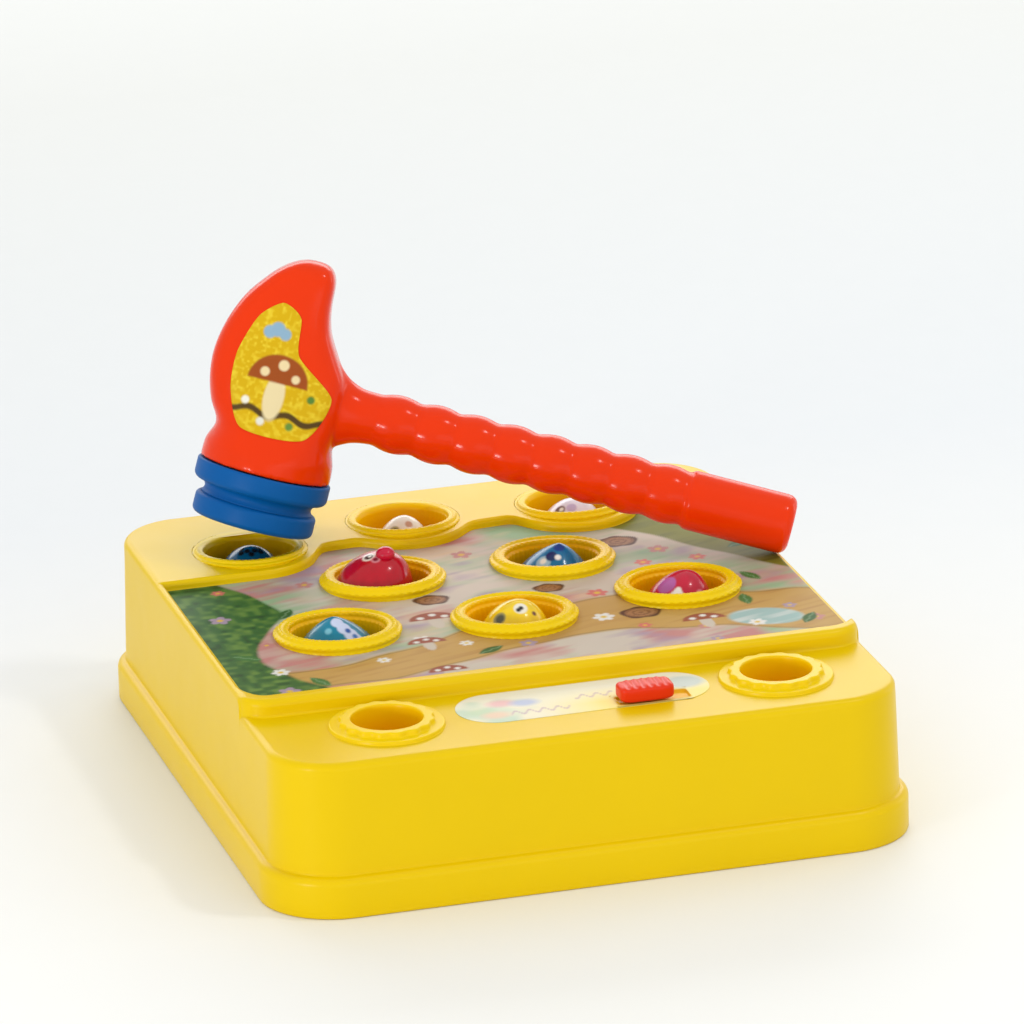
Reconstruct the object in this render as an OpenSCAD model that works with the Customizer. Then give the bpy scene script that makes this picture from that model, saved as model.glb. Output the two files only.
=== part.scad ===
// Whack-a-mole toy: a hollow yellow case with eight pop-up moles, and a hammer with a bellows head.
// Origin: middle of the case's underside. +X right, +Y back, +Z up, millimetres.

/* [Case] */
// Width of the skirt round the foot of the case
case_w = 264; // [256:1:290]
// Depth of the skirt, front to back
case_d = 296; // [290:1:320]
// Radius of the skirt's corners seen from above
corner_r = 31; // [24:1:36]
// Height of the skirt
skirt_h = 16.6; // [12:0.2:22]
// How far the body stands in from the skirt
skirt_ledge = 3.5; // [2:0.1:5]
// How far the walls lean in between skirt and deck
wall_lean = 1.3; // [0:0.1:2.5]
// Wall thickness of the mouldings
wall = 2.5; // [2:0.1:3]
// Height of the low step along the front
step_z = 62; // [58:0.5:64]
// Depth of the low step, front to back
step_d = 64; // [60:0.5:68]
// Height of the deck rim and of the back shelf
deck_z = 69; // [67:0.5:74]
// Depth of the sunk field below the deck rim
field_drop = 4; // [2:0.5:5]
// Width of the rim in front of the field
front_rim = 9; // [5:0.5:12]
// Width of the rim left of the field
left_rim = 4; // [3:0.5:8]
// Radius of the rounded top edges
edge_r = 3; // [1:0.5:4]
// Thickness of the printed sheets
sheet_t = 0.4; // [0.2:0.1:0.8]
// Gap round pieces that drop into a recess
drop_in_gap = 0.3; // [0.2:0.05:0.6]

/* [Holes] */
// Distance between holes in a row
hole_pitch_x = 72; // [70:0.5:73]
// Back row's left hole from the back of the skirt, as a share of the case's depth
back_row_share = 0.189; // [0.187:0.001:0.195]
// Middle row from the back of the skirt, as a share of the case's depth
mid_row_share = 0.346; // [0.343:0.001:0.349]
// Front row's middle hole from the back of the skirt, as a share of the case's depth
front_row_share = 0.551; // [0.547:0.001:0.555]
// How far the back row's left hole stands in towards the middle
back_left_in = 3; // [0:0.5:3]
// How far the back row's middle hole stands back from its left hole
back_middle_bow = 15; // [11:0.5:15]
// How far the back row's right hole stands back from its left hole
back_right_bow = 11.5; // [8:0.5:12]
// How far the front row's left hole stands back from its middle hole
front_left_bow = 5.5; // [3:0.5:6]
// How far the front row's right hole stands back from its middle hole
front_right_bow = 11; // [7:0.5:11]
// Sideways place of the back row's middle
back_row_x = -11.5; // [-13:0.5:-10]
// Sideways place of the middle row's middle
mid_row_x = -0.5; // [-3:0.5:2]
// Sideways place of the front row's middle
front_row_x = 2; // [-1:0.5:3]
// Radius of a hole
hole_r = 19; // [18:0.5:20]
// Outer radius of the ring round a hole
rim_r = 26.5; // [25:0.5:28]
// Height of the ring's top above the field
rim_rise = 6; // [4.5:0.5:8]
// Depth of a well below the field
well_depth = 15; // [12:0.5:16]

/* [Moles] */
// Gap between a mole and its well
mole_gap = 2; // [1:0.1:3]
// How far a lowered mole stands above its ring
mole_rise = 2; // [1:0.5:4]
// How far a mole pops up
mole_lift = 6.5; // [5:0.5:7.5]
// How far a mole can be knocked below its catch
over_travel = 1.5; // [1:0.1:1.8]
// Radius of a mole's stem
stem_r = 5; // [4:0.25:5.5]
// Gap round the stem in its guide
stem_gap = 0.2; // [0.15:0.05:0.4]
// Radius of the collar on the stem
collar_r = 9; // [8:0.25:9.5]
// Wire thickness of the springs
spring_wire = 1; // [0.8:0.1:1.2]
// Turns of each spring
spring_turns = 5; // [4:1:5]
// Thickness of a catch finger
catch_t = 1.5; // [1.2:0.1:2]

/* [Drive] */
// Thickness of the release disc
disc_t = 2; // [1.5:0.1:2.4]
// Height of a bump on the release disc
bump_h = 2; // [1.5:0.1:3]
// Gap between a bump and a catch tail
trip_gap = 0.4; // [0.3:0.1:0.8]
// Tooth size (module) of the disc's gear stage
slow_module = 1.5; // [1.4:0.05:1.55]
// Teeth of the disc's gear
ring_teeth = 100; // [96:1:102]
// Teeth of the pinion that turns the disc
slow_pinion_teeth = 12; // [11:1:14]
// Tooth size (module) of the motor's gear stage
fast_module = 0.8; // [0.75:0.05:0.85]
// Teeth of the gear that the motor turns
fast_gear_teeth = 60; // [56:1:62]
// Teeth of the motor's pinion
motor_pinion_teeth = 10; // [9:1:12]
// Radius of the disc's axle
axle_r = 2; // [1.5:0.1:2.5]
// Running gap round an axle
axle_gap = 0.05; // [0.03:0.01:0.1]

/* [Front step] */
// Distance of the hammer sockets from the front of the skirt
socket_inset = 40.5; // [38:0.5:44]
// Sideways place of the left socket
socket_left_x = -76; // [-84:0.5:-70]
// Sideways place of the right socket
socket_right_x = 82.5; // [78:0.5:88]
// Gap between a stored handle and its socket
socket_gap = 2; // [1:0.5:3]
// Depth of a socket below its lip
socket_depth = 36; // [30:0.5:38]
// Height of a socket's lip above the step
socket_lip_h = 4; // [2:0.5:5]
// Length of the label by the switch
label_l = 98; // [90:1:102]
// Width of the label by the switch
label_w = 32; // [28:0.5:34]
// Sideways place of the label's middle
label_x = 3; // [0:0.5:6]
// Distance of the label's middle from the front of the skirt
label_inset = 44; // [40:0.5:48]
// Sideways place of the switch knob
knob_x = 27; // [20:0.5:30]
// Length of the switch knob
knob_l = 22; // [16:0.5:24]
// Width of the switch knob
knob_w = 12; // [10:0.5:14]
// Height of the switch knob above the step
knob_h = 7; // [4:0.5:9]
// Travel of the switch knob
knob_travel = 6; // [5:0.5:8]

/* [Batteries] */
// Diameter of a cell
cell_d = 14.5; // [14:0.1:14.5]
// Length of a cell
cell_l = 50.5; // [48:0.5:51]
// Thickness of the base plate
plate_t = 2.5; // [2:0.1:3]

/* [Hammer] */
// Radius of the handle
handle_r = 12; // [10.5:0.25:12.5]
// Length of the handle from the head's middle
handle_l = 215; // [200:1:225]
// Length of one grip ring
ring_pitch = 16.3; // [15:0.1:17]
// Height of the grip rings
ring_rise = 1.8; // [0.5:0.1:2.2]
// Radius of the head where it meets the bellows
head_r = 27.2; // [26.4:0.2:28]
// Radius of the bellows' upper ring
collar_ring_r = 27.9; // [27:0.1:29]
// Radius of the bellows' face
face_r = 25.3; // [24.5:0.1:26.5]
// How far the bellows can be pressed in
bellows_travel = 3; // [2:0.5:3.5]
// Place of the head's middle on the resting hammer, sideways
hammer_x = -62.9; // [-63.4:0.1:-62.4]
// Place of the head's middle on the resting hammer, front to back
hammer_y = 95.9; // [95.3:0.1:96.5]
// Height of the head's middle on the resting hammer
hammer_z = 132.3; // [132.3:0.1:135]
// Turn of the resting hammer about its handle
hammer_roll = -13; // [-13.4:0.1:-12.6]
// Slope of the resting handle
hammer_pitch = 15; // [14.8:0.1:15]
// Turn of the resting hammer seen from above
hammer_yaw = -21; // [-21.4:0.1:-20.6]

/* [Hidden] */
eps = 0.01;
$fn = 64;
hull_fn = 32;

// Case outline
front_y = -case_d / 2;
back_y = case_d / 2;
top_inset = skirt_ledge + wall_lean;
inner_w = case_w - 2 * (top_inset + wall);
inner_d = case_d - 2 * (top_inset + wall);
inner_r = corner_r - top_inset - wall;
plate_w = case_w - 2 * (wall + drop_in_gap);
plate_d = case_d - 2 * (wall + drop_in_gap);
plate_r = corner_r - wall;
step_back_y = front_y + step_d;
field_z = deck_z - field_drop;
field_left_x = -case_w / 2 + top_inset + left_rim;
field_right_x = case_w / 2 - top_inset;
field_front_y = step_back_y + front_rim;
field_corner_r = 8;
plateau_corner_r = 12;

// Holes: place and whether the mole starts up
back_row_y = back_y - case_d * back_row_share;
mid_row_y = back_y - case_d * mid_row_share;
front_row_y = back_y - case_d * front_row_share;
MOLE_NAMES = ["back_left", "back_middle", "back_right", "mid_left", "mid_right",
              "front_left", "front_middle", "front_right"];
MOLE_X = [back_row_x - hole_pitch_x + back_left_in, back_row_x, back_row_x + hole_pitch_x,
          mid_row_x - hole_pitch_x / 2, mid_row_x + hole_pitch_x / 2,
          front_row_x - hole_pitch_x, front_row_x, front_row_x + hole_pitch_x];
MOLE_Y = [back_row_y, back_row_y + back_middle_bow, back_row_y + back_right_bow, mid_row_y, mid_row_y,
          front_row_y + front_left_bow, front_row_y, front_row_y + front_right_bow];
MOLE_COLORS = ["midnightblue", "whitesmoke", "lavender", "crimson", "darkcyan",
               "teal", "gold", "mediumvioletred"];
raised_mole = 3;
ring_half = (rim_r - hole_r + 1) / 2;
rim_top_z = field_z + rim_rise;
back_rim_top_z = deck_z + rim_rise - 3;
back_mole_drop = 2.5;

// Back shelf: a slanted front edge that bulges round the back holes
shelf_bulge_r = rim_r + 1.5;
shelf_y = back_row_y - 9.7;
shelf_slope = 0.086;
shelf_left_y = back_row_y - shelf_bulge_r;
shelf_left_w = MOLE_X[0] - field_left_x;

// Heights inside, from the field down
well_wall = 2;
floor_t = 2;
guide_h = 5;
guide_wall = 3;
collar_t = 2.5;
stop_gap = 1.5;
floor_z = field_z - well_depth;
guide_z = floor_z - floor_t - guide_h;
collar_top_z = guide_z - mole_lift - stop_gap;
collar_z = collar_top_z - collar_t;
mole_r = hole_r - mole_gap;
mole_foot_z = floor_z + over_travel + 1.8;
mole_top_z = rim_top_z + mole_rise;
mole_wall_h = 6;

// Heights inside, from the base plate up
gear_lift = 0.7;
gear_z = plate_t + gear_lift;
fast_gear_t = 2.2;
stage_gap = 0.5;
ring_gear_z = gear_z + fast_gear_t + stage_gap;
ring_gear_t = 2.7;
disc_z = ring_gear_z + ring_gear_t;
slow_pinion_top_z = disc_z - 0.4;
bump_top_z = disc_z + disc_t + bump_h;
tail_z = bump_top_z + trip_gap;
chassis_t = 2.5;
chassis_z = tail_z + 5;
chassis_top_z = chassis_z + chassis_t;
spring_h = collar_z - chassis_top_z;
spring_mid_r = stem_r + 1.5;

// Release disc and gear train
disc_x = -4.5;
disc_y = (back_row_y + front_row_y) / 2;
catch_reach = 12;
catch_w = 8;
tail_w = 4;
slot_gap = 0.7;
hook_gap = 0.3;
hook_t = 1.5;
catch_spots = [for (i = [0:7]) norm([MOLE_X[i] - disc_x, MOLE_Y[i] - disc_y])];
disc_r = norm([max(catch_spots), catch_reach + catch_t]) + 4;
gear_dir = -65;
slow_distance = slow_module * (ring_teeth + slow_pinion_teeth) / 2;
fast_distance = fast_module * (fast_gear_teeth + motor_pinion_teeth) / 2;
drive_x = disc_x + slow_distance * cos(gear_dir);
drive_y = disc_y + slow_distance * sin(gear_dir);
motor_x = disc_x + (slow_distance + fast_distance) * cos(gear_dir);
motor_y = disc_y + (slow_distance + fast_distance) * sin(gear_dir);
motor_len = 25;
motor_w = 20;
motor_flat = 15.4;
motor_shaft_r = 1;
motor_z = gear_z + fast_gear_t + 3.6;
drive_axle_r = 1.5;
ring_gear_in_r = slow_module * ring_teeth / 2 - 6;

// Chassis posts, case posts and screws
chassis_post_x = inner_w / 2 - 8.5;
chassis_back_y = back_row_y + 3;
chassis_front_y = front_row_y - 15;
chassis_margin = 12;
post_r = 4.5;
pilot_r = 1.2;
screw_r = 1.2;
screw_hole_r = 1.6;
screw_head_r = 2.8;
screw_head_t = 1.6;
case_post_in = 8;
case_post_x = inner_w / 2 - inner_r + (inner_r - case_post_in) * cos(45);
case_post_y = inner_d / 2 - inner_r + (inner_r - case_post_in) * sin(45);
CORNERS = [[-1, -1], [1, -1], [-1, 1], [1, 1]];

// Front step
socket_r = handle_r + socket_gap;
socket_y = front_y + socket_inset;
socket_lip_z = step_z + socket_lip_h;
socket_floor_z = socket_lip_z - socket_depth;
socket_lip_t = 1.5;
socket_foot_r = socket_r + 5.5;
socket_ring_r = socket_foot_r + 1;
socket_ring_half = 1.3;
label_y = front_y + label_inset;
knob_y = label_y - 9;
knob_recess = 0.5;
knob_lift = 0.3;
knob_neck_w = 5;
knob_neck_l = 9;
track_x0 = knob_x - knob_l / 2 - 1.5;
track_x1 = knob_x + knob_l / 2 + knob_travel + 1.5;
track_w = knob_w + 3;
switch_top_z = step_z - wall - 5;
switch_h = 9;

// Battery bay
cells = 3;
cell_pitch = cell_d + 0.5;
bay_wall = 2;
bay_x = cells * cell_pitch + 1;
contact_t = 0.6;
bay_y = cell_l + 2 * contact_t + 1.2;
bay_gap = 0.5;
bay_front_y = front_y + top_inset + wall + bay_gap + bay_wall;
bay_mid_y = bay_front_y + bay_y / 2;
cell_z = plate_t + 0.3 + cell_d / 2;
bay_roof_z = cell_z + cell_d / 2 + 0.6;
bay_roof_t = 1.5;
door_tab = 9;
door_w = bay_x + 2;
door_y0 = bay_front_y - 1;
door_y1 = bay_front_y + bay_y + door_tab;
door_screw_y = bay_front_y + bay_y + door_tab - 4.5;
door_post_h = 10;

// Speaker and circuit board
speaker_r = 20;
speaker_in_x = 48;
speaker_in_y = 44;
speaker_x = speaker_in_x - case_w / 2;
speaker_y = front_y + speaker_in_y;
board_in_x = 52;
board_in_y = 47;
board_x = case_w / 2 - board_in_x;
board_y = front_y + board_in_y;
board_l = 44;
board_w = 34;
board_t = 1.6;
board_z = plate_t + 6.5;

// Hammer, in its own frame: handle along +X, bellows along -Z
collar_ring_t = 9.3;
fold_h = bellows_travel + 1.5;
face_t = 9.2;
head_foot_z = -31.4;
fold_z = head_foot_z - collar_ring_t;
face_z = fold_z - fold_h;
fold_r = 22.8;
fold_wall = 2.5;
bellows_bore_r = 19.5;
bellows_bore_h = 20;
grip_x0 = 39.8;
grip_rings = 8;
sleeve_x = grip_x0 + grip_rings * ring_pitch;
sleeve_r = handle_r + 0.4;
end_round = 4;
neck_x = 12;
neck_r = 20;
neck_end_x = 33;
neck_end_r = handle_r - 1.2;
flat_lean = 8;
flat_y = 19.8;
flat_foot_z = -18.7;
sticker_gap = 0.05;
// Lumps of the head: along the handle, height, radius, half thickness
LUMPS = [[-1, -8.7, 26.5, 24], [-3.5, 8.3, 28.7, 25], [-7, 24.3, 23.2, 21], [-8, 36.3, 17.6, 17.5],
    [-4, 47.3, 12.3, 13], [2.8, 51.9, 4.5, 6]];
// Corner points of the sticker: along the handle, height
STICKER = [[-8, 39], [2, 33], [5, 18], [18, 4], [9, -14], [-12, -13], [-22, 0], [-21, 16], [-16, 32]];

// Flat rectangle with round corners, centred
module round_rect(w, d, r) {
    square([w - 2 * r, d], center = true);
    square([w, d - 2 * r], center = true);
    for (c = CORNERS)
        translate([c[0] * (w / 2 - r), c[1] * (d / 2 - r)]) circle(r);
}

// Round post with a rounded top edge, for the corners of the shell's hulls
module corner_mass(r, top_r, z0, z1, round_r) {
    rotate_extrude($fn = hull_fn) polygon(concat(
        [[0, z0], [r, z0]],
        [for (a = [0:22.5:90]) [top_r - round_r * (1 - cos(a)), z1 - round_r * (1 - sin(a))]],
        [[0, z1]]));
}

// Outside of the case without its rings: skirt, body and plateau with rounded edges
module case_mass() {
    corner_x = case_w / 2 - corner_r;
    corner_y = case_d / 2 - corner_r;
    hull()
        for (c = CORNERS)
            translate([c[0] * corner_x, c[1] * corner_y, 0])
                corner_mass(corner_r, corner_r, 0, skirt_h, skirt_ledge);
    hull()
        for (c = CORNERS)
            translate([c[0] * corner_x, c[1] * corner_y, 0])
                corner_mass(corner_r - skirt_ledge, corner_r - top_inset, skirt_h - skirt_ledge,
                            step_z, edge_r);
    hull()
        for (s = [-1, 1]) {
            translate([s * (case_w / 2 - top_inset - plateau_corner_r), step_back_y + plateau_corner_r, 0])
                corner_mass(plateau_corner_r, plateau_corner_r, step_z - edge_r - 2, deck_z, edge_r);
            translate([s * corner_x, corner_y, 0])
                corner_mass(corner_r - top_inset, corner_r - top_inset, step_z - edge_r - 2, deck_z, edge_r);
        }
}

// Plan of the sunk field, drawn in by gap; it runs out over the right side
module field_plan(gap, right_x) {
    x0 = field_left_x + gap;
    y0 = field_front_y + gap;
    y1 = shelf_y - gap;
    r = field_corner_r;
    difference() {
        union() {
            polygon([[x0 + r, y0], [right_x, y0], [right_x, y1 + shelf_slope * (right_x - x0)],
                     [x0, y1], [x0, y0 + r], [x0 + r, y0 + r]]);
            translate([x0 + r, y0 + r]) circle(r);
        }
        for (i = [0:2])
            translate([MOLE_X[i], MOLE_Y[i]]) circle(shelf_bulge_r + gap);
        translate([x0 - 1, shelf_left_y - gap]) square([shelf_left_w + gap + 1, shelf_y]);
    }
}

// Hammer socket in the step: cup, raised lip and ring
module socket_cup() {
    translate([0, 0, socket_floor_z - floor_t])
        cylinder(r = socket_r + well_wall, h = step_z - socket_floor_z + floor_t - eps);
    translate([0, 0, step_z - wall / 2])
        cylinder(r1 = socket_foot_r, r2 = socket_r + socket_lip_t, h = socket_lip_h + wall / 2);
    translate([0, 0, step_z])
        rotate_extrude() translate([socket_ring_r, 0]) circle(socket_ring_half);
}

// Ring round a hole, its well and the guide for the stem
module well(top_z) {
    rotate_extrude() {
        translate([hole_r - 1, field_z - wall])
            square([rim_r - hole_r + 1, top_z - ring_half - field_z + wall]);
        translate([rim_r - ring_half, top_z - ring_half]) circle(ring_half);
    }
    translate([0, 0, floor_z - floor_t]) cylinder(r = hole_r + well_wall, h = well_depth);
    translate([0, 0, guide_z]) cylinder(r = stem_r + guide_wall, h = guide_h + eps);
}

module top_shell() {
    color("gold") difference() {
        union() {
            difference() {
                case_mass();
                translate([0, 0, -1]) linear_extrude(plate_t + 1)
                    round_rect(case_w - 2 * wall, case_d - 2 * wall, plate_r);
                linear_extrude(step_z - wall) round_rect(inner_w, inner_d, inner_r);
                translate([-inner_w / 2, step_back_y + wall, skirt_h])
                    cube([inner_w, inner_d / 2 - inner_r - step_back_y - wall, field_z - wall - skirt_h]);
                translate([0, 0, field_z]) linear_extrude(field_drop + 1)
                    field_plan(0, case_w / 2);
                translate([track_x0, knob_y - track_w / 2, step_z - knob_recess])
                    cube([track_x1 - track_x0, track_w, knob_recess + 1]);
                translate([knob_x - knob_neck_l / 2 - 1, knob_y - knob_neck_w / 2 - 0.5, step_z - wall - 1])
                    cube([knob_neck_l + knob_travel + 2, knob_neck_w + 1, wall + 2]);
            }
            for (i = [0:7])
                translate([MOLE_X[i], MOLE_Y[i], 0]) well(i < 3 ? back_rim_top_z : rim_top_z);
            for (x = [socket_left_x, socket_right_x])
                translate([x, socket_y, 0]) socket_cup();
            for (c = CORNERS)
                translate([c[0] * case_post_x, c[1] * case_post_y, plate_t])
                    cylinder(r = post_r, h = step_z - wall / 2 - plate_t);
        }
        for (i = [0:7])
            translate([MOLE_X[i], MOLE_Y[i], 0]) {
                translate([0, 0, floor_z]) cylinder(r = hole_r, h = deck_z);
                cylinder(r = stem_r + stem_gap, h = deck_z);
            }
        for (x = [socket_left_x, socket_right_x])
            translate([x, socket_y, socket_floor_z]) cylinder(r = socket_r, h = deck_z);
        for (c = CORNERS)
            translate([c[0] * case_post_x, c[1] * case_post_y, 0]) cylinder(r = pilot_r, h = 18);
    }
}

module base_plate() {
    color("goldenrod") difference() {
        union() {
            linear_extrude(plate_t) round_rect(plate_w, plate_d, plate_r);
            for (s = [-1, 1], y = [chassis_front_y, chassis_back_y])
                translate([s * chassis_post_x, y, 0]) cylinder(r = post_r, h = chassis_z);
            translate([disc_x, disc_y, 0]) cylinder(r = axle_r + 4, h = ring_gear_z - 0.7);
            translate([drive_x, drive_y, 0]) cylinder(r = drive_axle_r + 2, h = gear_z - 0.3);
            translate([-bay_x / 2 - bay_wall, bay_front_y - bay_wall, 0])
                cube([bay_x + 2 * bay_wall, bay_y + 2 * bay_wall, bay_roof_z + bay_roof_t]);
            translate([-post_r, bay_front_y + bay_y, 0]) cube([2 * post_r, door_tab, plate_t + door_post_h]);
            for (sx = [-1, 1], sy = [-1, 1])
                translate([board_x + sx * (board_l / 2 - 4), board_y + sy * (board_w / 2 - 4), 0])
                    cylinder(r = 3, h = board_z);
            translate([speaker_x, speaker_y, 0]) cylinder(r = speaker_r + 2, h = plate_t + 3);
        }
        translate([-bay_x / 2, bay_front_y, -1]) cube([bay_x, bay_y, bay_roof_z + 1]);
        translate([-door_w / 2 - drop_in_gap, door_y0 - drop_in_gap, -1])
            cube([door_w + 2 * drop_in_gap, door_y1 - door_y0 + 2 * drop_in_gap, plate_t + 1]);
        translate([0, door_screw_y, 0]) cylinder(r = screw_r + axle_gap, h = plate_t + door_post_h - 1);
        for (c = CORNERS)
            translate([c[0] * case_post_x, c[1] * case_post_y, -1]) {
                cylinder(r = screw_hole_r, h = plate_t + 2);
                cylinder(r = screw_head_r + 0.3, h = screw_head_t + 1);
            }
        for (s = [-1, 1], y = [chassis_front_y, chassis_back_y])
            translate([s * chassis_post_x, y, chassis_z - 10]) cylinder(r = pilot_r, h = 11);
        translate([disc_x, disc_y, 1]) cylinder(r = axle_r, h = chassis_z);
        translate([drive_x, drive_y, 1]) cylinder(r = drive_axle_r, h = chassis_z);
        translate([speaker_x, speaker_y, plate_t]) cylinder(r = speaker_r + drop_in_gap, h = 4);
        for (ring = [0:2], k = [0:max(0, ring * 6 - 1)])
            translate([speaker_x, speaker_y, -1])
                rotate(ring == 0 ? 0 : k * 60 / ring) translate([ring * 6, 0, 0])
                    cylinder(r = 1.5, h = plate_t + 2);
    }
}

module game_sheet() {
    color("darkseagreen") translate([0, 0, field_z]) linear_extrude(sheet_t) difference() {
        field_plan(drop_in_gap, field_right_x - edge_r);
        for (i = [3:7])
            translate([MOLE_X[i], MOLE_Y[i]]) circle(rim_r + drop_in_gap);
    }
}

module switch_label() {
    color("white") translate([0, 0, step_z]) linear_extrude(sheet_t) difference() {
        translate([label_x, label_y]) round_rect(label_l, label_w, label_w / 2 - 1);
        translate([track_x0 - drop_in_gap, knob_y - track_w / 2 - drop_in_gap])
            square([track_x1 - track_x0 + 2 * drop_in_gap, track_w + 2 * drop_in_gap]);
    }
}

// Moves children to mole i, turned so that +X runs round the release disc
module at_mole(i) {
    translate([MOLE_X[i], MOLE_Y[i], 0])
        rotate(atan2(MOLE_Y[i] - disc_y, MOLE_X[i] - disc_x) + 90) children();
}

module chassis_plate() {
    x = chassis_post_x + post_r;
    y0 = chassis_front_y - chassis_margin;
    y1 = chassis_back_y + chassis_margin + 8;
    color("lightgray") difference() {
        union() {
            translate([-x, y0, chassis_z]) cube([2 * x, y1 - y0, chassis_t]);
            translate([MOLE_X[1] - 20, y1 - 1, chassis_z])
                cube([MOLE_X[2] - MOLE_X[1] + 40, MOLE_Y[1] + 15 - y1, chassis_t]);
        }
        for (i = [0:7])
            at_mole(i) translate([catch_reach - slot_gap, -tail_w / 2 - slot_gap, 0])
                cube([catch_t + 2 * slot_gap, tail_w + 2 * slot_gap, chassis_top_z + 1]);
        for (s = [-1, 1], y = [chassis_front_y, chassis_back_y])
            translate([s * chassis_post_x, y, 0]) cylinder(r = screw_hole_r, h = chassis_top_z + 1);
        translate([disc_x, disc_y, 0]) cylinder(r = axle_r, h = chassis_top_z + 1);
        for (c = [-1, 1])
            translate([c * case_post_x, case_post_y, 0])
                cylinder(r = post_r + 1, h = chassis_top_z + 1);
    }
}

// Domed mole on a stem with its collar
module mole(i) {
    lift = i == raised_mole ? mole_lift : 0;
    top_z = mole_top_z - (i < 3 ? back_mole_drop : 0);
    dome_h = top_z - mole_foot_z - mole_wall_h;
    color(MOLE_COLORS[i]) translate([MOLE_X[i], MOLE_Y[i], lift]) {
        rotate_extrude() intersection() {
            translate([0, mole_foot_z + mole_wall_h]) union() {
                translate([0, dome_h - mole_r]) circle(mole_r);
                translate([0, -mole_wall_h]) square([mole_r, max(0.2, mole_wall_h + dome_h - mole_r)]);
            }
            translate([0, mole_foot_z]) square([mole_r, top_z - mole_foot_z]);
        }
        translate([0, 0, collar_z]) cylinder(r = stem_r, h = mole_foot_z + 1 - collar_z);
        translate([0, 0, collar_z]) cylinder(r = collar_r, h = collar_t);
    }
}

// Points of a wire wound into a helix: 8 rings a turn, 6 corners a ring
function coil_points(r, wire_r, h, turns) = [
    for (i = [0:turns * 8], j = [0:5])
        let (a = i * 45, z = wire_r + (h - 2 * wire_r) * i / (turns * 8), q = r + wire_r * cos(j * 60))
            [q * cos(a), q * sin(a), z + wire_r * sin(j * 60)]];
function coil_faces(turns) = concat(
    [for (i = [0:turns * 8 - 1], j = [0:5]) [i * 6 + j, i * 6 + (j + 1) % 6, i * 6 + 6 + j]],
    [for (i = [0:turns * 8 - 1], j = [0:5])
        [i * 6 + (j + 1) % 6, i * 6 + 6 + (j + 1) % 6, i * 6 + 6 + j]],
    [for (j = [1:4]) [0, j + 1, j]],
    [for (j = [1:4]) [turns * 48, turns * 48 + j, turns * 48 + j + 1]]);

coil_gap = (spring_h - spring_wire - 0.2) / spring_turns - spring_wire;
echo(str("least gap between spring turns: ", coil_gap, " mm"));

// Return spring between the chassis plate and the collar
module mole_spring(i) {
    h = spring_h + (i == raised_mole ? mole_lift : 0) - 0.2;
    color("silver") translate([MOLE_X[i], MOLE_Y[i], chassis_top_z + 0.1])
        polyhedron(coil_points(spring_mid_r, spring_wire / 2, h, spring_turns), coil_faces(spring_turns));
}

// Snap catch: a springy finger that hooks over the collar, with a tail down to the disc
module mole_catch(i) {
    hook_z = collar_top_z + hook_gap;
    hook_reach = collar_r - 1.5;
    color("ivory") at_mole(i) {
        translate([catch_reach, -catch_w / 2, chassis_top_z]) cube([6, catch_w, 1.5]);
        translate([catch_reach, -catch_w / 2, chassis_top_z])
            cube([catch_t, catch_w, hook_z + hook_t - chassis_top_z]);
        translate([hook_reach, -catch_w / 2, hook_z])
            cube([catch_reach + catch_t - hook_reach, catch_w, hook_t]);
        translate([catch_reach, -tail_w / 2, tail_z]) cube([catch_t, tail_w, chassis_top_z + 1 - tail_z]);
    }
}

// Spur gear: straight-sided teeth with room to run; shares are of the tooth's angle
module spur_gear(m, teeth, root_share, phase) {
    step = 360 / teeth;
    r = m * teeth / 2;
    function at(q, a) = [q * cos(a), q * sin(a)];
    polygon([for (k = [0:teeth - 1], c = [0:5])
        let (a = phase + k * step,
             q = [r - 1.25 * m, r, r + 0.85 * m, r + 0.85 * m, r, r - 1.25 * m][c],
             s = [-root_share, -0.2, -0.1, 0.1, 0.2, root_share][c])
            at(q, a + s * step)]);
}

module release_disc() {
    color("mediumseagreen") translate([disc_x, disc_y, 0]) difference() {
        union() {
            translate([0, 0, disc_z]) cylinder(r = disc_r, h = disc_t);
            translate([0, 0, ring_gear_z]) linear_extrude(ring_gear_t + eps) difference() {
                spur_gear(slow_module, ring_teeth, 0.3, gear_dir);
                circle(ring_gear_in_r);
            }
            translate([0, 0, ring_gear_z - 0.4]) cylinder(r = 8, h = bump_top_z - ring_gear_z + 0.4);
            for (i = [0:7])
                rotate(i * 45 + 20) translate([norm([catch_spots[i], catch_reach]), 0, disc_z])
                    cylinder(r = 2.5, h = disc_t + bump_h);
        }
        cylinder(r = axle_r + axle_gap, h = chassis_z);
    }
}

module disc_axle() {
    color("silver") translate([disc_x, disc_y, 1]) cylinder(r = axle_r, h = chassis_top_z - 1);
}

module drive_gear() {
    color("white") translate([drive_x, drive_y, 0]) difference() {
        union() {
            translate([0, 0, gear_z]) linear_extrude(fast_gear_t)
                spur_gear(fast_module, fast_gear_teeth, 0.3, gear_dir);
            translate([0, 0, gear_z]) linear_extrude(slow_pinion_top_z - gear_z)
                spur_gear(slow_module, slow_pinion_teeth, 0.26,
                          gear_dir + 180 + 180 / slow_pinion_teeth);
        }
        cylinder(r = drive_axle_r + axle_gap, h = chassis_z);
    }
}

module drive_gear_axle() {
    color("silver") translate([drive_x, drive_y, 1]) cylinder(r = drive_axle_r, h = slow_pinion_top_z - 1);
}

// Moves children to the motor's axis, with +X pointing away from the disc
module at_motor() {
    translate([motor_x, motor_y, 0]) rotate(gear_dir) children();
}

module motor_body() {
    color("lightslategray") at_motor() {
        translate([0, 0, motor_z]) intersection() {
            cylinder(r = motor_w / 2, h = motor_len);
            translate([-motor_flat / 2, -motor_w / 2, 0]) cube([motor_flat, motor_w, motor_len]);
        }
        translate([0, 0, motor_z + motor_len - eps]) cylinder(r = 3, h = 2);
    }
}

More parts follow.
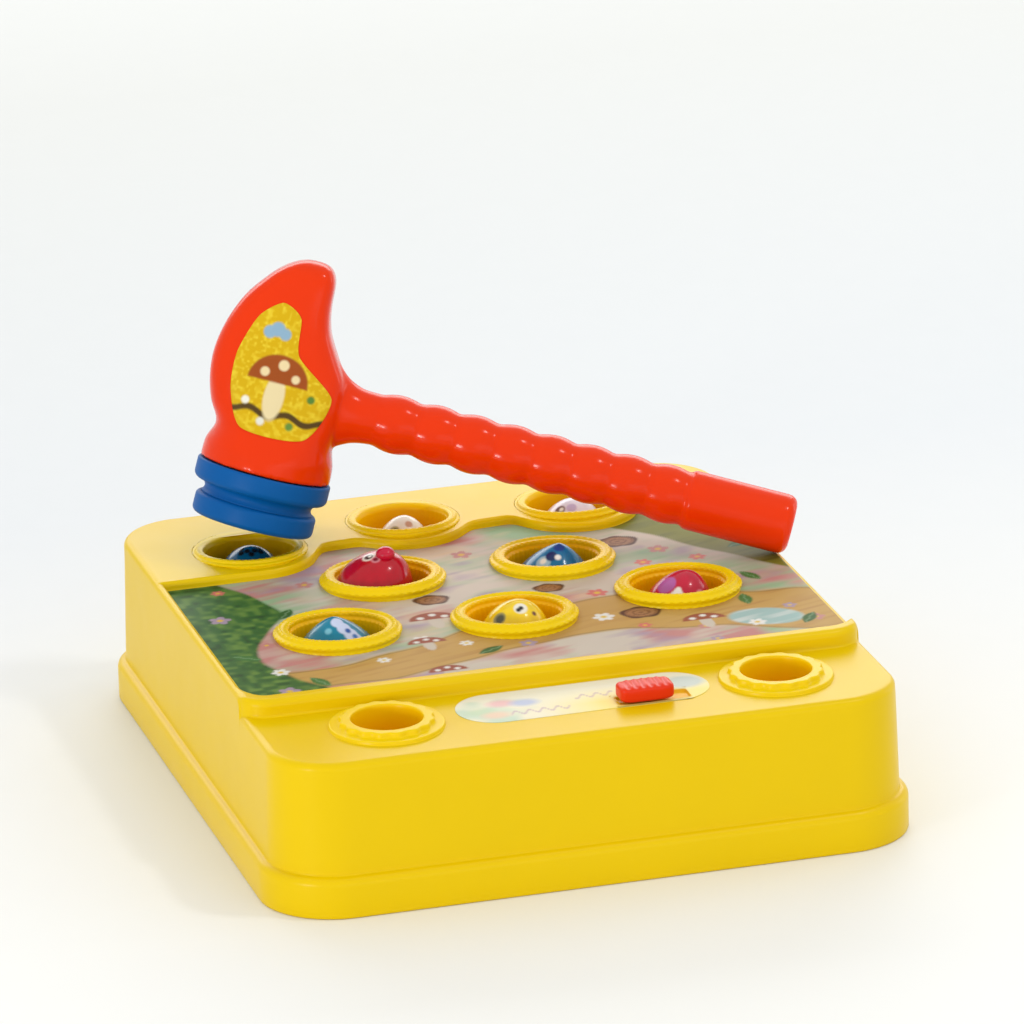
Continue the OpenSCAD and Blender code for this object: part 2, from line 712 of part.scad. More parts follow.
module motor_pinion() {
    color("goldenrod") at_motor() {
        translate([0, 0, gear_z]) linear_extrude(fast_gear_t)
            spur_gear(fast_module, motor_pinion_teeth, 0.26, 180 + 180 / motor_pinion_teeth);
        translate([0, 0, gear_z]) cylinder(r = motor_shaft_r, h = motor_z - gear_z - 0.1);
    }
}

module motor_clamp() {
    x0 = -motor_flat / 2;
    y = motor_w / 2 + 2;
    top_h = motor_z + 10;
    color("darkorange") at_motor() {
        difference() {
            translate([x0, -y - 4, motor_z - 2]) cube([motor_flat + 3, 2 * y + 8, 2]);
            translate([0, 0, motor_z - 3]) cylinder(r = 5, h = 4);
        }
        for (s = [-1, 1]) {
            translate([0, s * (y + 2) - 2, plate_t]) cube([motor_flat / 2, 4, motor_z - plate_t - 1]);
            translate([-4, s * (motor_w / 2 + 1.3) - 1, motor_z - 1]) cube([8, 2, top_h - motor_z]);
        }
        translate([motor_flat / 2 + 0.3, -6, motor_z - 1]) cube([2, 12, top_h - motor_z]);
    }
}

module circuit_board() {
    color("darkgreen") translate([board_x - board_l / 2, board_y - board_w / 2, board_z])
        cube([board_l, board_w, board_t]);
}

module board_chips() {
    color("dimgray") translate([board_x, board_y, board_z + board_t]) {
        translate([-9, -6, 0]) cube([14, 9, 2.2]);
        translate([-16, 8, 0]) cylinder(r = 3, h = 7);
        translate([14, -8, 0]) cylinder(r = 3, h = 7);
        translate([9, 6, 0]) cube([7, 5, 4]);
    }
}

module speaker() {
    color("black") translate([speaker_x, speaker_y, plate_t]) {
        cylinder(r = speaker_r, h = 1.5);
        translate([0, 0, 1.5 - eps]) cylinder(r1 = speaker_r - 2, r2 = 10, h = 4.5);
        translate([0, 0, 5.5]) cylinder(r = 10, h = 5);
    }
}

module switch_body() {
    ear_x = knob_x + knob_travel / 2;
    ear_l = knob_neck_l + knob_travel + 12;
    color("silver") difference() {
        union() {
            translate([ear_x - ear_l / 2, knob_y - 6, switch_top_z - switch_h]) cube([ear_l, 12, switch_h]);
            for (s = [-1, 1])
                translate([ear_x + s * (ear_l / 2 - 2) - 2, knob_y - 6, switch_top_z - eps])
                    cube([4, 12, step_z - wall - switch_top_z + eps]);
        }
        translate([knob_x - knob_neck_l / 2 - 1, knob_y - knob_neck_w / 2 - 0.5, switch_top_z - 2])
            cube([knob_neck_l + knob_travel + 2, knob_neck_w + 1, 3]);
    }
}

module switch_knob() {
    foot_z = step_z - knob_recess + knob_lift;
    top_z = step_z + knob_h;
    ribs = 5;
    rib_pitch = (knob_l - 6) / ribs;
    color("orangered") translate([knob_x, knob_y, 0]) {
        difference() {
            translate([0, 0, foot_z]) linear_extrude(top_z - foot_z) round_rect(knob_l, knob_w, 3);
            for (k = [0:ribs - 1])
                translate([(k - ribs / 2 + 0.5) * rib_pitch, 0, top_z + 0.6])
                    rotate([90, 0, 0]) cylinder(r = 1.5, h = knob_w + 2, center = true);
        }
        translate([-knob_neck_l / 2, -knob_neck_w / 2, switch_top_z - 1.5])
            cube([knob_neck_l, knob_neck_w, foot_z + 1 - switch_top_z + 1.5]);
    }
}

module battery_door() {
    color("goldenrod") difference() {
        translate([-door_w / 2, door_y0, 0]) cube([door_w, door_y1 - door_y0, plate_t]);
        translate([0, door_screw_y, -1]) {
            cylinder(r = screw_hole_r, h = plate_t + 2);
            cylinder(r = screw_head_r + 0.2, h = screw_head_t + 1);
        }
    }
}

// Screw with its head down, resting at the depth of a countersunk seat
module screw(l) {
    cylinder(r = screw_head_r, h = screw_head_t - 0.1);
    translate([0, 0, screw_head_t - 0.2]) cylinder(r = screw_r, h = l);
}

module battery_door_screw() {
    color("silver") translate([0, door_screw_y, 0.1]) screw(9);
}

module batteries() {
    color("dimgray")
        for (k = [0:cells - 1])
            translate([(k - (cells - 1) / 2) * cell_pitch, bay_mid_y, cell_z])
                rotate([k % 2 == 0 ? 90 : -90, 0, 0]) {
                    translate([0, 0, -cell_l / 2]) cylinder(r = cell_d / 2, h = cell_l - 1);
                    translate([0, 0, cell_l / 2 - 1.1]) cylinder(r = 2.7, h = 1.1);
                }
}

module battery_contacts() {
    color("silver")
        for (s = [-1, 1], k = [0:cells - 1])
            translate([(k - (cells - 1) / 2) * cell_pitch - 5,
                       bay_mid_y + s * (bay_y / 2 - contact_t / 2) - contact_t / 2, cell_z - 5])
                cube([10, contact_t, 10]);
}

module case_screws() {
    color("silver")
        for (c = CORNERS)
            translate([c[0] * case_post_x, c[1] * case_post_y, 0.1]) screw(12);
}

module chassis_screws() {
    color("silver")
        for (s = [-1, 1], y = [chassis_front_y, chassis_back_y])
            translate([s * chassis_post_x, y, chassis_top_z + screw_head_t - 0.1])
                rotate([180, 0, 0]) screw(9);
}

// Moves children from the hammer's own frame to where it lies on the case
module at_hammer() {
    translate([hammer_x, hammer_y, hammer_z]) rotate([hammer_roll, hammer_pitch, hammer_yaw]) children();
}

// Radius along the handle: neck, grip rings, plain sleeve
function handle_radius(x) = x < grip_x0 ? neck_end_r
    : x < sleeve_x ? handle_r + 0.2 - ring_rise * (1 - abs(sin(180 * (x - grip_x0) / ring_pitch)))
    : sleeve_r;

module handle() {
    ring_steps = 6;
    rotate([0, 90, 0]) rotate_extrude() polygon(concat(
        [[0, 0], [neck_end_r, 0]],
        [for (k = [0:grip_rings * ring_steps])
            let (x = grip_x0 + k * ring_pitch / ring_steps) [handle_radius(x), x]],
        [for (a = [0:15:90])
            [sleeve_r - end_round * (1 - cos(a)), handle_l - end_round * (1 - sin(a))]],
        [[0, handle_l]]));
}

module head_lump(p) {
    translate([p[0], 0, p[1]]) scale([1, p[3] / p[2], 1]) sphere(r = p[2], $fn = 24);
}

// Half-space beyond one flat side of the head, leaning in towards the top
module beyond_flat(side) {
    translate([0, side * flat_y, 0]) rotate([side * flat_lean, 0, 0])
        translate([-60, side > 0 ? 0 : -40, flat_foot_z]) cube([120, 40, 100]);
}

// Head before its sides are flattened: a chain of lumps on a round foot
module head_mass() {
    for (i = [0:len(LUMPS) - 2])
        hull() {
            head_lump(LUMPS[i]);
            head_lump(LUMPS[i + 1]);
        }
    rotate_extrude() polygon([[0, head_foot_z], [head_r, head_foot_z],
        [head_r - 0.6, head_foot_z + 6], [head_r - 2.8, head_foot_z + 14],
        [head_r - 5, head_foot_z + 20], [0, head_foot_z + 20]]);
}

module hammer_body() {
    color("orangered") at_hammer() difference() {
        union() {
            difference() {
                head_mass();
                for (side = [-1, 1])
                    beyond_flat(side);
            }
            translate([neck_x, 0, 0]) rotate([0, 90, 0])
                cylinder(r1 = neck_r, r2 = neck_end_r, h = neck_end_x - neck_x);
            handle();
        }
        translate([0, 0, head_foot_z - head_r]) cylinder(r = bellows_bore_r, h = bellows_bore_h + head_r);
    }
}

module bellows_collar() {
    color("royalblue") at_hammer() difference() {
        rotate_extrude() {
            translate([0, fold_z + 2]) square([collar_ring_r, collar_ring_t - 2]);
            translate([0, fold_z]) square([collar_ring_r - 2, 2 + eps]);
            translate([collar_ring_r - 2, fold_z + 2]) circle(2);
        }
        translate([0, 0, fold_z - 3]) cylinder(r = bellows_bore_r, h = collar_ring_t + 4);
    }
}

module bellows_fold() {
    color("mediumblue") at_hammer() translate([0, 0, face_z]) difference() {
        cylinder(r = fold_r, h = fold_h);
        translate([0, 0, -1]) cylinder(r = fold_r - fold_wall, h = fold_h + 2);
    }
}

module bellows_face() {
    color("royalblue") at_hammer() rotate_extrude() difference() {
        union() {
            translate([0, face_z - face_t + 2]) square([face_r, face_t - 4]);
            translate([0, face_z - face_t]) square([face_r - 2, face_t]);
            translate([face_r - 2, face_z - 2]) circle(2);
            translate([face_r - 2, face_z - face_t + 2]) circle(2);
        }
        translate([-1, face_z - face_t + 3]) square([bellows_bore_r + 1, face_t]);
        translate([-40, face_z - face_t - 1]) square([40, face_t + 2]);
    }
}

module squeaker() {
    color("white") at_hammer() translate([0, 0, head_foot_z + bellows_bore_h - 8]) difference() {
        cylinder(r = 7, h = 8);
        translate([0, 0, -1]) cylinder(r = 2, h = 7);
    }
}

// Closed smooth curve through corner points
function spline_point(p, i, t) =
    let (n = len(p), a = p[(i + n - 1) % n], b = p[i], c = p[(i + 1) % n], d = p[(i + 2) % n])
    0.5 * (2 * b + (c - a) * t + (2 * a - 5 * b + 4 * c - d) * t * t + (3 * b - a - 3 * c + d) * t * t * t);
function smooth_loop(p, steps) = [for (i = [0:len(p) - 1], k = [0:steps - 1]) spline_point(p, i, k / steps)];

// Sticker on one flat side of the head
module hammer_sticker(side) {
    at_hammer() translate([0, side * flat_y, 0]) rotate([side * flat_lean, 0, 0])
        translate([0, side * (sticker_gap + sheet_t / 2) + sheet_t / 2, 0]) rotate([90, 0, 0])
            linear_extrude(sheet_t) polygon(smooth_loop(STICKER, 4));
}

module hammer_sticker_near() {
    color("yellow") hammer_sticker(-1);
}

module hammer_sticker_far() {
    color("yellow") hammer_sticker(1);
}

top_shell();
base_plate();
game_sheet();
switch_label();
chassis_plate();
release_disc();
disc_axle();
drive_gear();
drive_gear_axle();
motor_body();
motor_pinion();
motor_clamp();
circuit_board();
board_chips();
speaker();
switch_body();
switch_knob();
battery_door();
battery_door_screw();
batteries();
battery_contacts();
case_screws();
chassis_screws();
hammer_body();
bellows_collar();
bellows_fold();
bellows_face();
squeaker();
hammer_sticker_near();
hammer_sticker_far();
for (i = [0:7]) {
    mole(i);
    mole_spring(i);
    mole_catch(i);
}
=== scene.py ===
# %% [markdown]
# # A whack-a-mole toy from numpy surfaces
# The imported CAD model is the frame: it knows every piece, its body and its joint. This lesson dresses it.
# Each visible skin is a function of two parameters worked out on a grid. Most skins replace the plain solid
# that they cover; rings, sockets and track belong to the case and replace none. All lengths below are in
# millimetres, unless a name ends in _M, and the factor MM turns them into metres where Blender takes them.

import bmesh
import bpy
import numpy as np
from mathutils import Euler, Matrix


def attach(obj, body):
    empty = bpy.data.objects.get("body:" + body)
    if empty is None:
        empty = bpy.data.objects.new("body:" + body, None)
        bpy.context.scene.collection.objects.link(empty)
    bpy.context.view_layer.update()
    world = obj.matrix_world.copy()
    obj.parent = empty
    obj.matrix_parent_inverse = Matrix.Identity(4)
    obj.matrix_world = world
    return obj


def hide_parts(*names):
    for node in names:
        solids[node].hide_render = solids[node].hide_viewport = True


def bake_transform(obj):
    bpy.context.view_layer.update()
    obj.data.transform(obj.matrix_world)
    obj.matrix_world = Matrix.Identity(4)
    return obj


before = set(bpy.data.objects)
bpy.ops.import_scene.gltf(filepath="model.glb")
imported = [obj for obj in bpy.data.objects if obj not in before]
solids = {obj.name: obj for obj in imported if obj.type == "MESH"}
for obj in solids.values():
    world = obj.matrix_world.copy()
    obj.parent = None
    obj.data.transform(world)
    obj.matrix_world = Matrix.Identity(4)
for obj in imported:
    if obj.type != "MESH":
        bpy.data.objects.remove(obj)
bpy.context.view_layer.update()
MM = 0.001
print("solids loaded:", len(solids))

# %% [markdown]
# The camera comes first. The photograph was taken from far away with a long lens, a little to the left
# and about 20 degrees up. Two angles, a small roll and a distance give its place; then it is aimed so
# that the case sits in the lower half of the picture, without shifting the lens.

# %% Camera at the photograph's angle
PICTURE_PX, FOCAL_PX, SENSOR_MM = 1024, 7864.0, 36.0
AZIMUTH, ELEVATION, ROLL = -15.25, 20.17, -1.67
TURNED_ABOUT, CAMERA_FAR = np.array([0.0, 0.0, 40.0]), 3178.0
AIM_RIGHT_PX, AIM_UP_PX = 10.7, 153.2
SIGHT_END_M = 60


def unit(v):
    """The vector divided by its length."""
    return v / np.linalg.norm(v)


def camera_axes(azimuth, elevation, roll):
    """Back, right and up of a camera: back from two angles, right level with the floor;
    right and up are then turned by the roll."""
    az, el, ro = np.radians([azimuth, elevation, roll])
    back = np.array([np.sin(az) * np.cos(el), -np.cos(az) * np.cos(el), np.sin(el)])
    right = unit(np.cross(-back, [0.0, 0.0, 1.0]))
    up = np.cross(right, -back)
    return back, np.cos(ro) * right + np.sin(ro) * up, np.cos(ro) * up - np.sin(ro) * right


def placed(x_axis, y_axis, z_axis, spot):
    """The matrix that sets an object at a spot (mm), with its axes along the three given ones."""
    columns = np.column_stack([x_axis, y_axis, z_axis, spot * MM])
    return Matrix(np.vstack([columns, [0, 0, 0, 1]]).tolist())


back, right, up = camera_axes(AZIMUTH, ELEVATION, ROLL)
camera_spot = TURNED_ABOUT + CAMERA_FAR * back
sight = unit(-back + (AIM_RIGHT_PX * right + AIM_UP_PX * up) / FOCAL_PX)
camera_x = unit(right - sight * (right @ sight))
camera = bpy.data.objects.new("photo_camera", bpy.data.cameras.new("photo_camera"))
camera.matrix_world = placed(camera_x, np.cross(-sight, camera_x), -sight, camera_spot)
camera.data.sensor_width = SENSOR_MM
camera.data.lens = SENSOR_MM * FOCAL_PX / PICTURE_PX
camera.data.clip_end = SIGHT_END_M
bpy.context.scene.collection.objects.link(camera)
bpy.context.scene.camera = camera
print("lens:", round(camera.data.lens, 1), "mm")

# %% [markdown]
# Every skin below is a grid of points. These helpers join neighbouring points into four-cornered faces, merge
# points that fall on one place (the poles of round pieces), and hand the piece to the body it moves with. A
# colour per point can go along, for printed pieces, and for painted shade, a painted shadow and painted
# glints on some pieces.

# %% Colour and grid helpers
def linear(r, g, b):
    """A screen colour (0 to 255) as the light values that Blender mixes."""
    c = np.array([r, g, b], float) / 255
    return np.where(c <= 0.04045, c / 12.92, ((c + 0.055) / 1.055) ** 2.4)


def cells(rows, cols, loop_rows=False, loop_cols=False):
    """Corner numbers of each cell of a grid; a looped side joins its last line to its first."""
    i = np.arange(rows if loop_rows else rows - 1)
    j = np.arange(cols if loop_cols else cols - 1)
    i0, j0 = (a.ravel() for a in np.meshgrid(i, j, indexing="ij"))
    i1, j1 = (i0 + 1) % rows, (j0 + 1) % cols
    return np.column_stack([i0 * cols + j0, i0 * cols + j1, i1 * cols + j1, i1 * cols + j0])


def full_turn(steps):
    """The angles of one whole turn in equal steps, with the end left out."""
    return np.linspace(0, 2 * np.pi, steps, endpoint=False)


def tube(grid, loop_rows=False):
    """A grid whose columns run round, as a list of points and the faces between them."""
    return grid.reshape(-1, 3), cells(*grid.shape[:2], loop_rows=loop_rows, loop_cols=True)


def joined(*grids):
    """Several (points, faces) put into one, by moving each set's corner numbers up."""
    starts = np.cumsum([0] + [len(p) for p, _ in grids[:-1]])
    return np.vstack([p for p, _ in grids]), np.vstack([f + s for (_, f), s in zip(grids, starts)])


print("a 3 by 3 grid has", len(cells(3, 3)), "cells")

# %% Piece helper
WELD_MM, SLIVER_M = 0.001, 1e-8


def add_piece(name, points, faces, body, finish, replaced=(), colours=None, outward=True):
    """A mesh from points (mm) and faces: doubles merged, faces turned outwards if closed,
    then given to its body and the solids that it replaces."""
    mesh = bpy.data.meshes.new(name)
    mesh.from_pydata((points * MM).tolist(), [], faces.tolist())
    if colours is not None:
        # The attribute called print holds printed colour, and on some pieces also painted shade, a painted
        # shadow and painted glints.
        layer = mesh.color_attributes.new("print", "FLOAT_COLOR", "POINT")
        rgba = np.column_stack([colours, np.ones(len(colours))])
        layer.data.foreach_set("color", rgba.astype(np.float32).ravel())
    bm = bmesh.new()
    bm.from_mesh(mesh)
    bmesh.ops.remove_doubles(bm, verts=bm.verts, dist=WELD_MM * MM)
    bmesh.ops.dissolve_degenerate(bm, dist=SLIVER_M, edges=bm.edges)
    if outward:
        bmesh.ops.recalc_face_normals(bm, faces=bm.faces)
    bm.to_mesh(mesh)
    bm.free()
    mesh.polygons.foreach_set("use_smooth", np.ones(len(mesh.polygons), bool))
    mesh.materials.append(finish)
    piece = bpy.data.objects.new(name, mesh)
    bpy.context.scene.collection.objects.link(piece)
    if body:
        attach(piece, body)
    if replaced:
        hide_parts(*replaced)
    return piece


print("doubles are merged within", WELD_MM, "mm")

# %% [markdown]
# Finishes. Nearly all of this toy is moulded plastic: its colour drifts a little, its gloss is uneven, and
# a very fine grain breaks up the highlights. One builder makes them all, from noise on Object coordinates,
# so that the pattern sits in the piece and doesn't slide when it moves.

# %% Moulded plastic
DRIFT_SCALE, GLOSS_SCALE, GRAIN_SCALE = 26.0, 70.0, 1400.0
GRAIN_DEPTH_M, COAT_ROUGHNESS = 0.0003, 0.08


def moulded(name, colour, tone, gloss, grain, coat=0.0, shine=0.2, metal=0.0, source=None):
    """Plastic: slow noise mixes two tones, middle noise sets the roughness, fine noise bumps the skin."""
    mat = bpy.data.materials.new(name)
    mat.use_nodes = True
    tree = mat.node_tree
    shader = tree.nodes["Principled BSDF"]
    place = tree.nodes.new("ShaderNodeTexCoord").outputs["Object"]

    def noise(scale, detail):
        """Noise of one scale and detail at the piece's own coordinates."""
        n = tree.nodes.new("ShaderNodeTexNoise")
        n.inputs["Scale"].default_value = scale
        n.inputs["Detail"].default_value = detail
        tree.links.new(place, n.inputs["Vector"])
        return n.outputs["Fac"]

    drift = tree.nodes.new("ShaderNodeMix")
    drift.data_type = "RGBA"
    tree.links.new(noise(DRIFT_SCALE, 4.0), drift.inputs["Factor"])
    drift.inputs["A"].default_value = (*(colour * tone), 1)
    drift.inputs["B"].default_value = (*np.minimum(colour * (2 - tone), 1), 1)
    skin_colour = drift.outputs["Result"]
    if source:
        ink = tree.nodes.new("ShaderNodeAttribute")
        ink.attribute_name = source
        over = tree.nodes.new("ShaderNodeMix")
        over.data_type = "RGBA"
        over.blend_type = "MULTIPLY"
        over.inputs["Factor"].default_value = 1.0
        tree.links.new(ink.outputs["Color"], over.inputs["A"])
        tree.links.new(skin_colour, over.inputs["B"])
        skin_colour = over.outputs["Result"]
    tree.links.new(skin_colour, shader.inputs["Base Color"])
    spread = tree.nodes.new("ShaderNodeMapRange")
    spread.inputs["To Min"].default_value, spread.inputs["To Max"].default_value = gloss
    tree.links.new(noise(GLOSS_SCALE, 3.0), spread.inputs["Value"])
    tree.links.new(spread.outputs["Result"], shader.inputs["Roughness"])
    bump = tree.nodes.new("ShaderNodeBump")
    bump.inputs["Strength"].default_value = grain
    bump.inputs["Distance"].default_value = GRAIN_DEPTH_M
    tree.links.new(noise(GRAIN_SCALE, 2.0), bump.inputs["Height"])
    tree.links.new(bump.outputs["Normal"], shader.inputs["Normal"])
    shader.inputs["Specular IOR Level"].default_value = shine
    shader.inputs["Coat Weight"].default_value = coat
    shader.inputs["Coat Roughness"].default_value = COAT_ROUGHNESS
    shader.inputs["Metallic"].default_value = metal
    return mat


print("noise scales:", DRIFT_SCALE, GLOSS_SCALE, GRAIN_SCALE)

# %% Finishes of the outer pieces
SHELL_YELLOW = linear(225, 190, 0)
shell_yellow = moulded("shell_yellow", SHELL_YELLOW, 0.97, (0.26, 0.34), 0.03, shine=0.135)
ring_yellow = moulded("ring_yellow", np.ones(3), 0.97, (0.26, 0.34), 0.03, shine=0.135, source="print")
hammer_orange = moulded("hammer_orange", linear(228, 53, 2), 0.96, (0.13, 0.2), 0.03, shine=0.15)
bellows_blue = moulded("bellows_blue", linear(0, 86, 156), 0.94, (0.4, 0.5), 0.06, shine=0.12)
knob_red = moulded("knob_red", linear(220, 48, 12), 0.94, (0.25, 0.36), 0.05)
printed_sheet = moulded(
    "printed_sheet", np.full(3, 0.76), 0.94, (0.42, 0.55), 0.02, shine=0.1, source="print")
printed_and_shaded_label = moulded("printed_and_shaded_label", np.full(3, 0.86), 0.96, (0.3, 0.42), 0.02, source="print")
printed_sticker = moulded(
    "printed_sticker", np.full(3, 0.85), 0.92, (0.4, 0.5), 0.04, shine=0.1, source="print")
print("finishes so far:", len(bpy.data.materials))

# %% [markdown]
# The deck is one moulding: a low step in front, a riser, a rim, a sunk field and a wavy shelf at the back.
# Seen from above it is a height for each place, so a grid over the plan describes all of it. The rows bend
# to follow the riser's ends and the wavy shelf, so that each rounded edge runs along grid lines and stays
# crisp. The plan's outline is a rectangle with round corners, and the rows' ends lie on it.

# %% Plan of the deck
BODY_X, BODY_Y, BODY_R = 127.2, 143.2, 26.2
STEP_Z, DECK_Z, FIELD_Z = 62.0, 69.0, 65.0
EDGE_R, STEP_HOLLOW_R, FIELD_HOLLOW_R = 3.0, 1.2, 0.8
RISER_Y, RISER_END_R = -84.0, 12.0
FIELD_X, FIELD_Y, FIELD_R = -123.2, -75.0, 8.0
SHELF_Y, SHELF_LEFT_Y, SHELF_SLOPE, SHELF_CROWN_R, BULGE_R = 91.0, 82.4, 0.086, 2.2, 28.0
LIP_H, LIP_IN, LIP_WIDE = 0.7, 2.3, 1.5
HOLE_CUT_R, SOCKET_CUT_R = 21.5, 17.5
HOLES = {
    "back_left": (-80.5, 92.06, 72.0),
    "back_middle": (-11.5, 107.06, 72.0),
    "back_right": (60.5, 103.56, 72.0),
    "mid_left": (-36.5, 45.58, 70.9),
    "mid_right": (35.5, 45.58, 70.9),
    "front_left": (-70.0, -9.6, 70.9),
    "front_middle": (2.0, -15.1, 70.9),
    "front_right": (74.0, -4.1, 70.9),
}
SOCKETS = {"left": (-76.0, -107.5), "right": (82.5, -107.5)}
TRACK = (14.8, 45.2, -119.2, -106.8)
print("holes:", len(HOLES), "sockets:", len(SOCKETS))

# %% Rounded edges of the deck
def quarter(d, r):
    """Drop of a rounded edge of radius r, d in from it: r at the edge, along a circle, to nothing at r."""
    q = np.clip(r - d, 0, r)
    return r - np.sqrt(np.maximum(r * r - q * q, 0))


def rise(d, low, high, hollow, crown):
    """Height across a riser: a hollow of one radius up to d = 0, a straight face,
    then a crown of another radius."""
    foot = low + hollow - np.sqrt(np.maximum(hollow**2 - np.clip(d + hollow, 0, hollow) ** 2, 0))
    return np.where(d <= 0, foot, high - quarter(np.maximum(d, 0), crown))


def shelf_edge(x):
    """Front edge of the shelf: a slanted line that bulges in a circle round each back hole,
    eased by a moving mean."""
    at = np.arange(-140, 140.1, 0.5)
    edge = SHELF_LEFT_Y + SHELF_SLOPE * (at - FIELD_X)
    for hx, hy, _ in list(HOLES.values())[:3]:
        reach = BULGE_R**2 - (at - hx) ** 2
        edge = np.where(reach > 0, np.minimum(edge, hy - np.sqrt(np.maximum(reach, 0))), edge)
    left_x, left_y, _ = HOLES["back_left"]
    edge = np.where(at < left_x, left_y - BULGE_R, edge)
    ease = np.hanning(25) / np.hanning(25).sum()
    return np.interp(x, at, np.convolve(np.pad(edge, 12, mode="edge"), ease, mode="valid"))


print("shelf edge from", shelf_edge(np.array([-80.0, -45.0, -12.0, 25.0])).round(1))

# %% Rows and columns of the deck
arc = 1 - np.cos(np.linspace(0, np.pi / 2, 23))
crown_steps = np.array([0.001, 0.05, 0.2, 0.45, 0.8, 1.25, 1.8, 2.4, 3.0])
hollow_steps = np.array([-1.2, -0.9, -0.6, -0.35, -0.15, -0.001])
row_y = np.concatenate([
    -BODY_Y + BODY_R * arc,
    np.arange(-114, -90, 3.0),
    [-89, -87.5, -86.2],
    RISER_Y + hollow_steps,
    RISER_Y + crown_steps,
    [-80, -79],
    FIELD_Y - crown_steps[::-1],
    FIELD_Y - hollow_steps[::-1],
    np.arange(-73, -65, 1.0),
    np.arange(-63, 80, 4.4),
    [82, 85, 87.5, 89],
    SHELF_Y + hollow_steps,
    SHELF_Y + crown_steps,
    [94.8, 95.6, 96.5, 98, 101, 105, 110, 114],
    BODY_Y - BODY_R * arc[::-1],
])
SIDE_BAND = 12.5
side = EDGE_R * (1 - np.cos(np.linspace(0, np.pi / 2, 9)))
left_cols = np.concatenate([
    side, [3.3, 3.6, 3.8, 3.95, 4.05, 4.2, 4.45, 4.8, 5.3, 6, 7, 8.2, 9.6, 11, SIDE_BAND],
])
right_cols = np.concatenate([[SIDE_BAND, 9, 6, 4], side[::-1]])
past_corner = np.maximum(np.abs(row_y) - BODY_Y + BODY_R, 0)
half_x = (BODY_X - BODY_R + np.sqrt(np.maximum(BODY_R**2 - past_corner**2, 0)))[:, None]
middle = np.linspace(0, 1, 80)[1:-1]
deck_x = np.hstack([
    left_cols - half_x,
    SIDE_BAND - half_x + 2 * (half_x - SIDE_BAND) * middle,
    half_x - right_cols,
])
base_y = np.repeat(row_y[:, None], deck_x.shape[1], 1)
print("deck grid:", deck_x.shape)

# %% Height of the deck
end_q = np.clip(np.abs(deck_x) - (BODY_X - RISER_END_R), 0, RISER_END_R - 0.5)
riser_bend = RISER_END_R - np.sqrt(RISER_END_R**2 - end_q**2)
riser_share = np.interp(base_y, [-112, -91, -70, -45], [0, 1, 1, 0])
shelf_share = np.interp(base_y, [-60, 82, 98, 116], [0, 1, 1, 0])
deck_y = base_y + riser_share * riser_bend + shelf_share * (shelf_edge(deck_x) - SHELF_Y)


def inner_depth(x, y):
    """How far a place lies inside the deck's outline, which is a rectangle with round corners."""
    qx, qy = np.abs(x) - (BODY_X - BODY_R), np.abs(y) - (BODY_Y - BODY_R)
    return BODY_R - np.hypot(np.maximum(qx, 0), np.maximum(qy, 0)) - np.minimum(np.maximum(qx, qy), 0)


def deck_level(x, y):
    """Step, riser, rim, field and shelf: the lower of the riser and of the higher of rim and shelf;
    a bell curve adds the shelf's raised lip."""
    into_field = np.minimum(x - FIELD_X, y - FIELD_Y)
    cx, cy = FIELD_X + FIELD_R - x, FIELD_Y + FIELD_R - y
    into_field = np.where((cx > 0) & (cy > 0), FIELD_R - np.hypot(cx, cy), into_field)
    rim = rise(-into_field, FIELD_Z, DECK_Z, FIELD_HOLLOW_R, EDGE_R)
    lip = LIP_H * np.exp(-(((y - SHELF_Y - LIP_IN) / LIP_WIDE) ** 2))
    shelf = rise(y - SHELF_Y, FIELD_Z, DECK_Z, FIELD_HOLLOW_R, SHELF_CROWN_R) + lip
    riser = rise(y - RISER_Y, STEP_Z, DECK_Z, STEP_HOLLOW_R, EDGE_R)
    return np.minimum(riser, np.maximum(rim, shelf))


deck_z = deck_level(deck_x, base_y) - quarter(inner_depth(deck_x, deck_y), EDGE_R)
deck = np.stack([deck_x, deck_y, deck_z], -1)
print("deck heights:", deck_z.min().round(1), "to", deck_z.max().round(1))

# %% [markdown]
# The walls hang from the deck's edge. Each point of the outline goes straight down: a wall that leans out a
# little, a rounded ledge, the skirt, and a turned-in foot. Because the wall starts from the deck's own edge
# points, deck and wall are one mesh with no seam.

# %% Walls and skirt
SKIRT_H, LEDGE, LEAN, WALL_FOOT_Z = 16.6, 3.5, 1.3, 18.2
rows, cols = deck_x.shape
numbers = np.arange(rows * cols).reshape(rows, cols)
rim_loop = np.concatenate([numbers[0], numbers[1:, -1], numbers[-1, -2::-1], numbers[-2:0:-1, 0]])
edge = deck.reshape(-1, 3)[rim_loop]
lean_to = np.maximum(np.abs(edge[:, :2]) - [BODY_X - BODY_R, BODY_Y - BODY_R], 0) * np.sign(edge[:, :2])
outward_xy = lean_to / np.linalg.norm(lean_to, axis=1, keepdims=True)
wall_t = np.linspace(0, 1, 11)[1:, None]
wall_z = edge[:, 2] + (WALL_FOOT_Z - edge[:, 2]) * wall_t
wall_in = LEDGE + LEAN * np.clip((wall_z - SKIRT_H) / (STEP_Z - SKIRT_H), 0, 1)
ledge_a = np.radians([6, 16, 28, 40, 52, 64, 76, 90])
foot_in = np.concatenate([[3.5, 3.46], LEDGE - LEDGE * np.sin(ledge_a), [0, 0, 0.25, 0.9, 2.4, 2.45]])
foot_z = np.concatenate([[17.2, 16.85], SKIRT_H - LEDGE + LEDGE * np.cos(ledge_a), [7, 0.9, 0.25, 0, 0, 2.4]])
wall_in = np.vstack([wall_in, np.repeat(foot_in[:, None], len(edge), 1)])
wall_z = np.vstack([wall_z, np.repeat(foot_z[:, None], len(edge), 1)])
wall_xy = edge[None, :, :2] + outward_xy[None] * (LEDGE + LEAN - wall_in)[..., None]
wall = np.concatenate([wall_xy, wall_z[..., None]], -1)
print("wall rows:", len(wall))

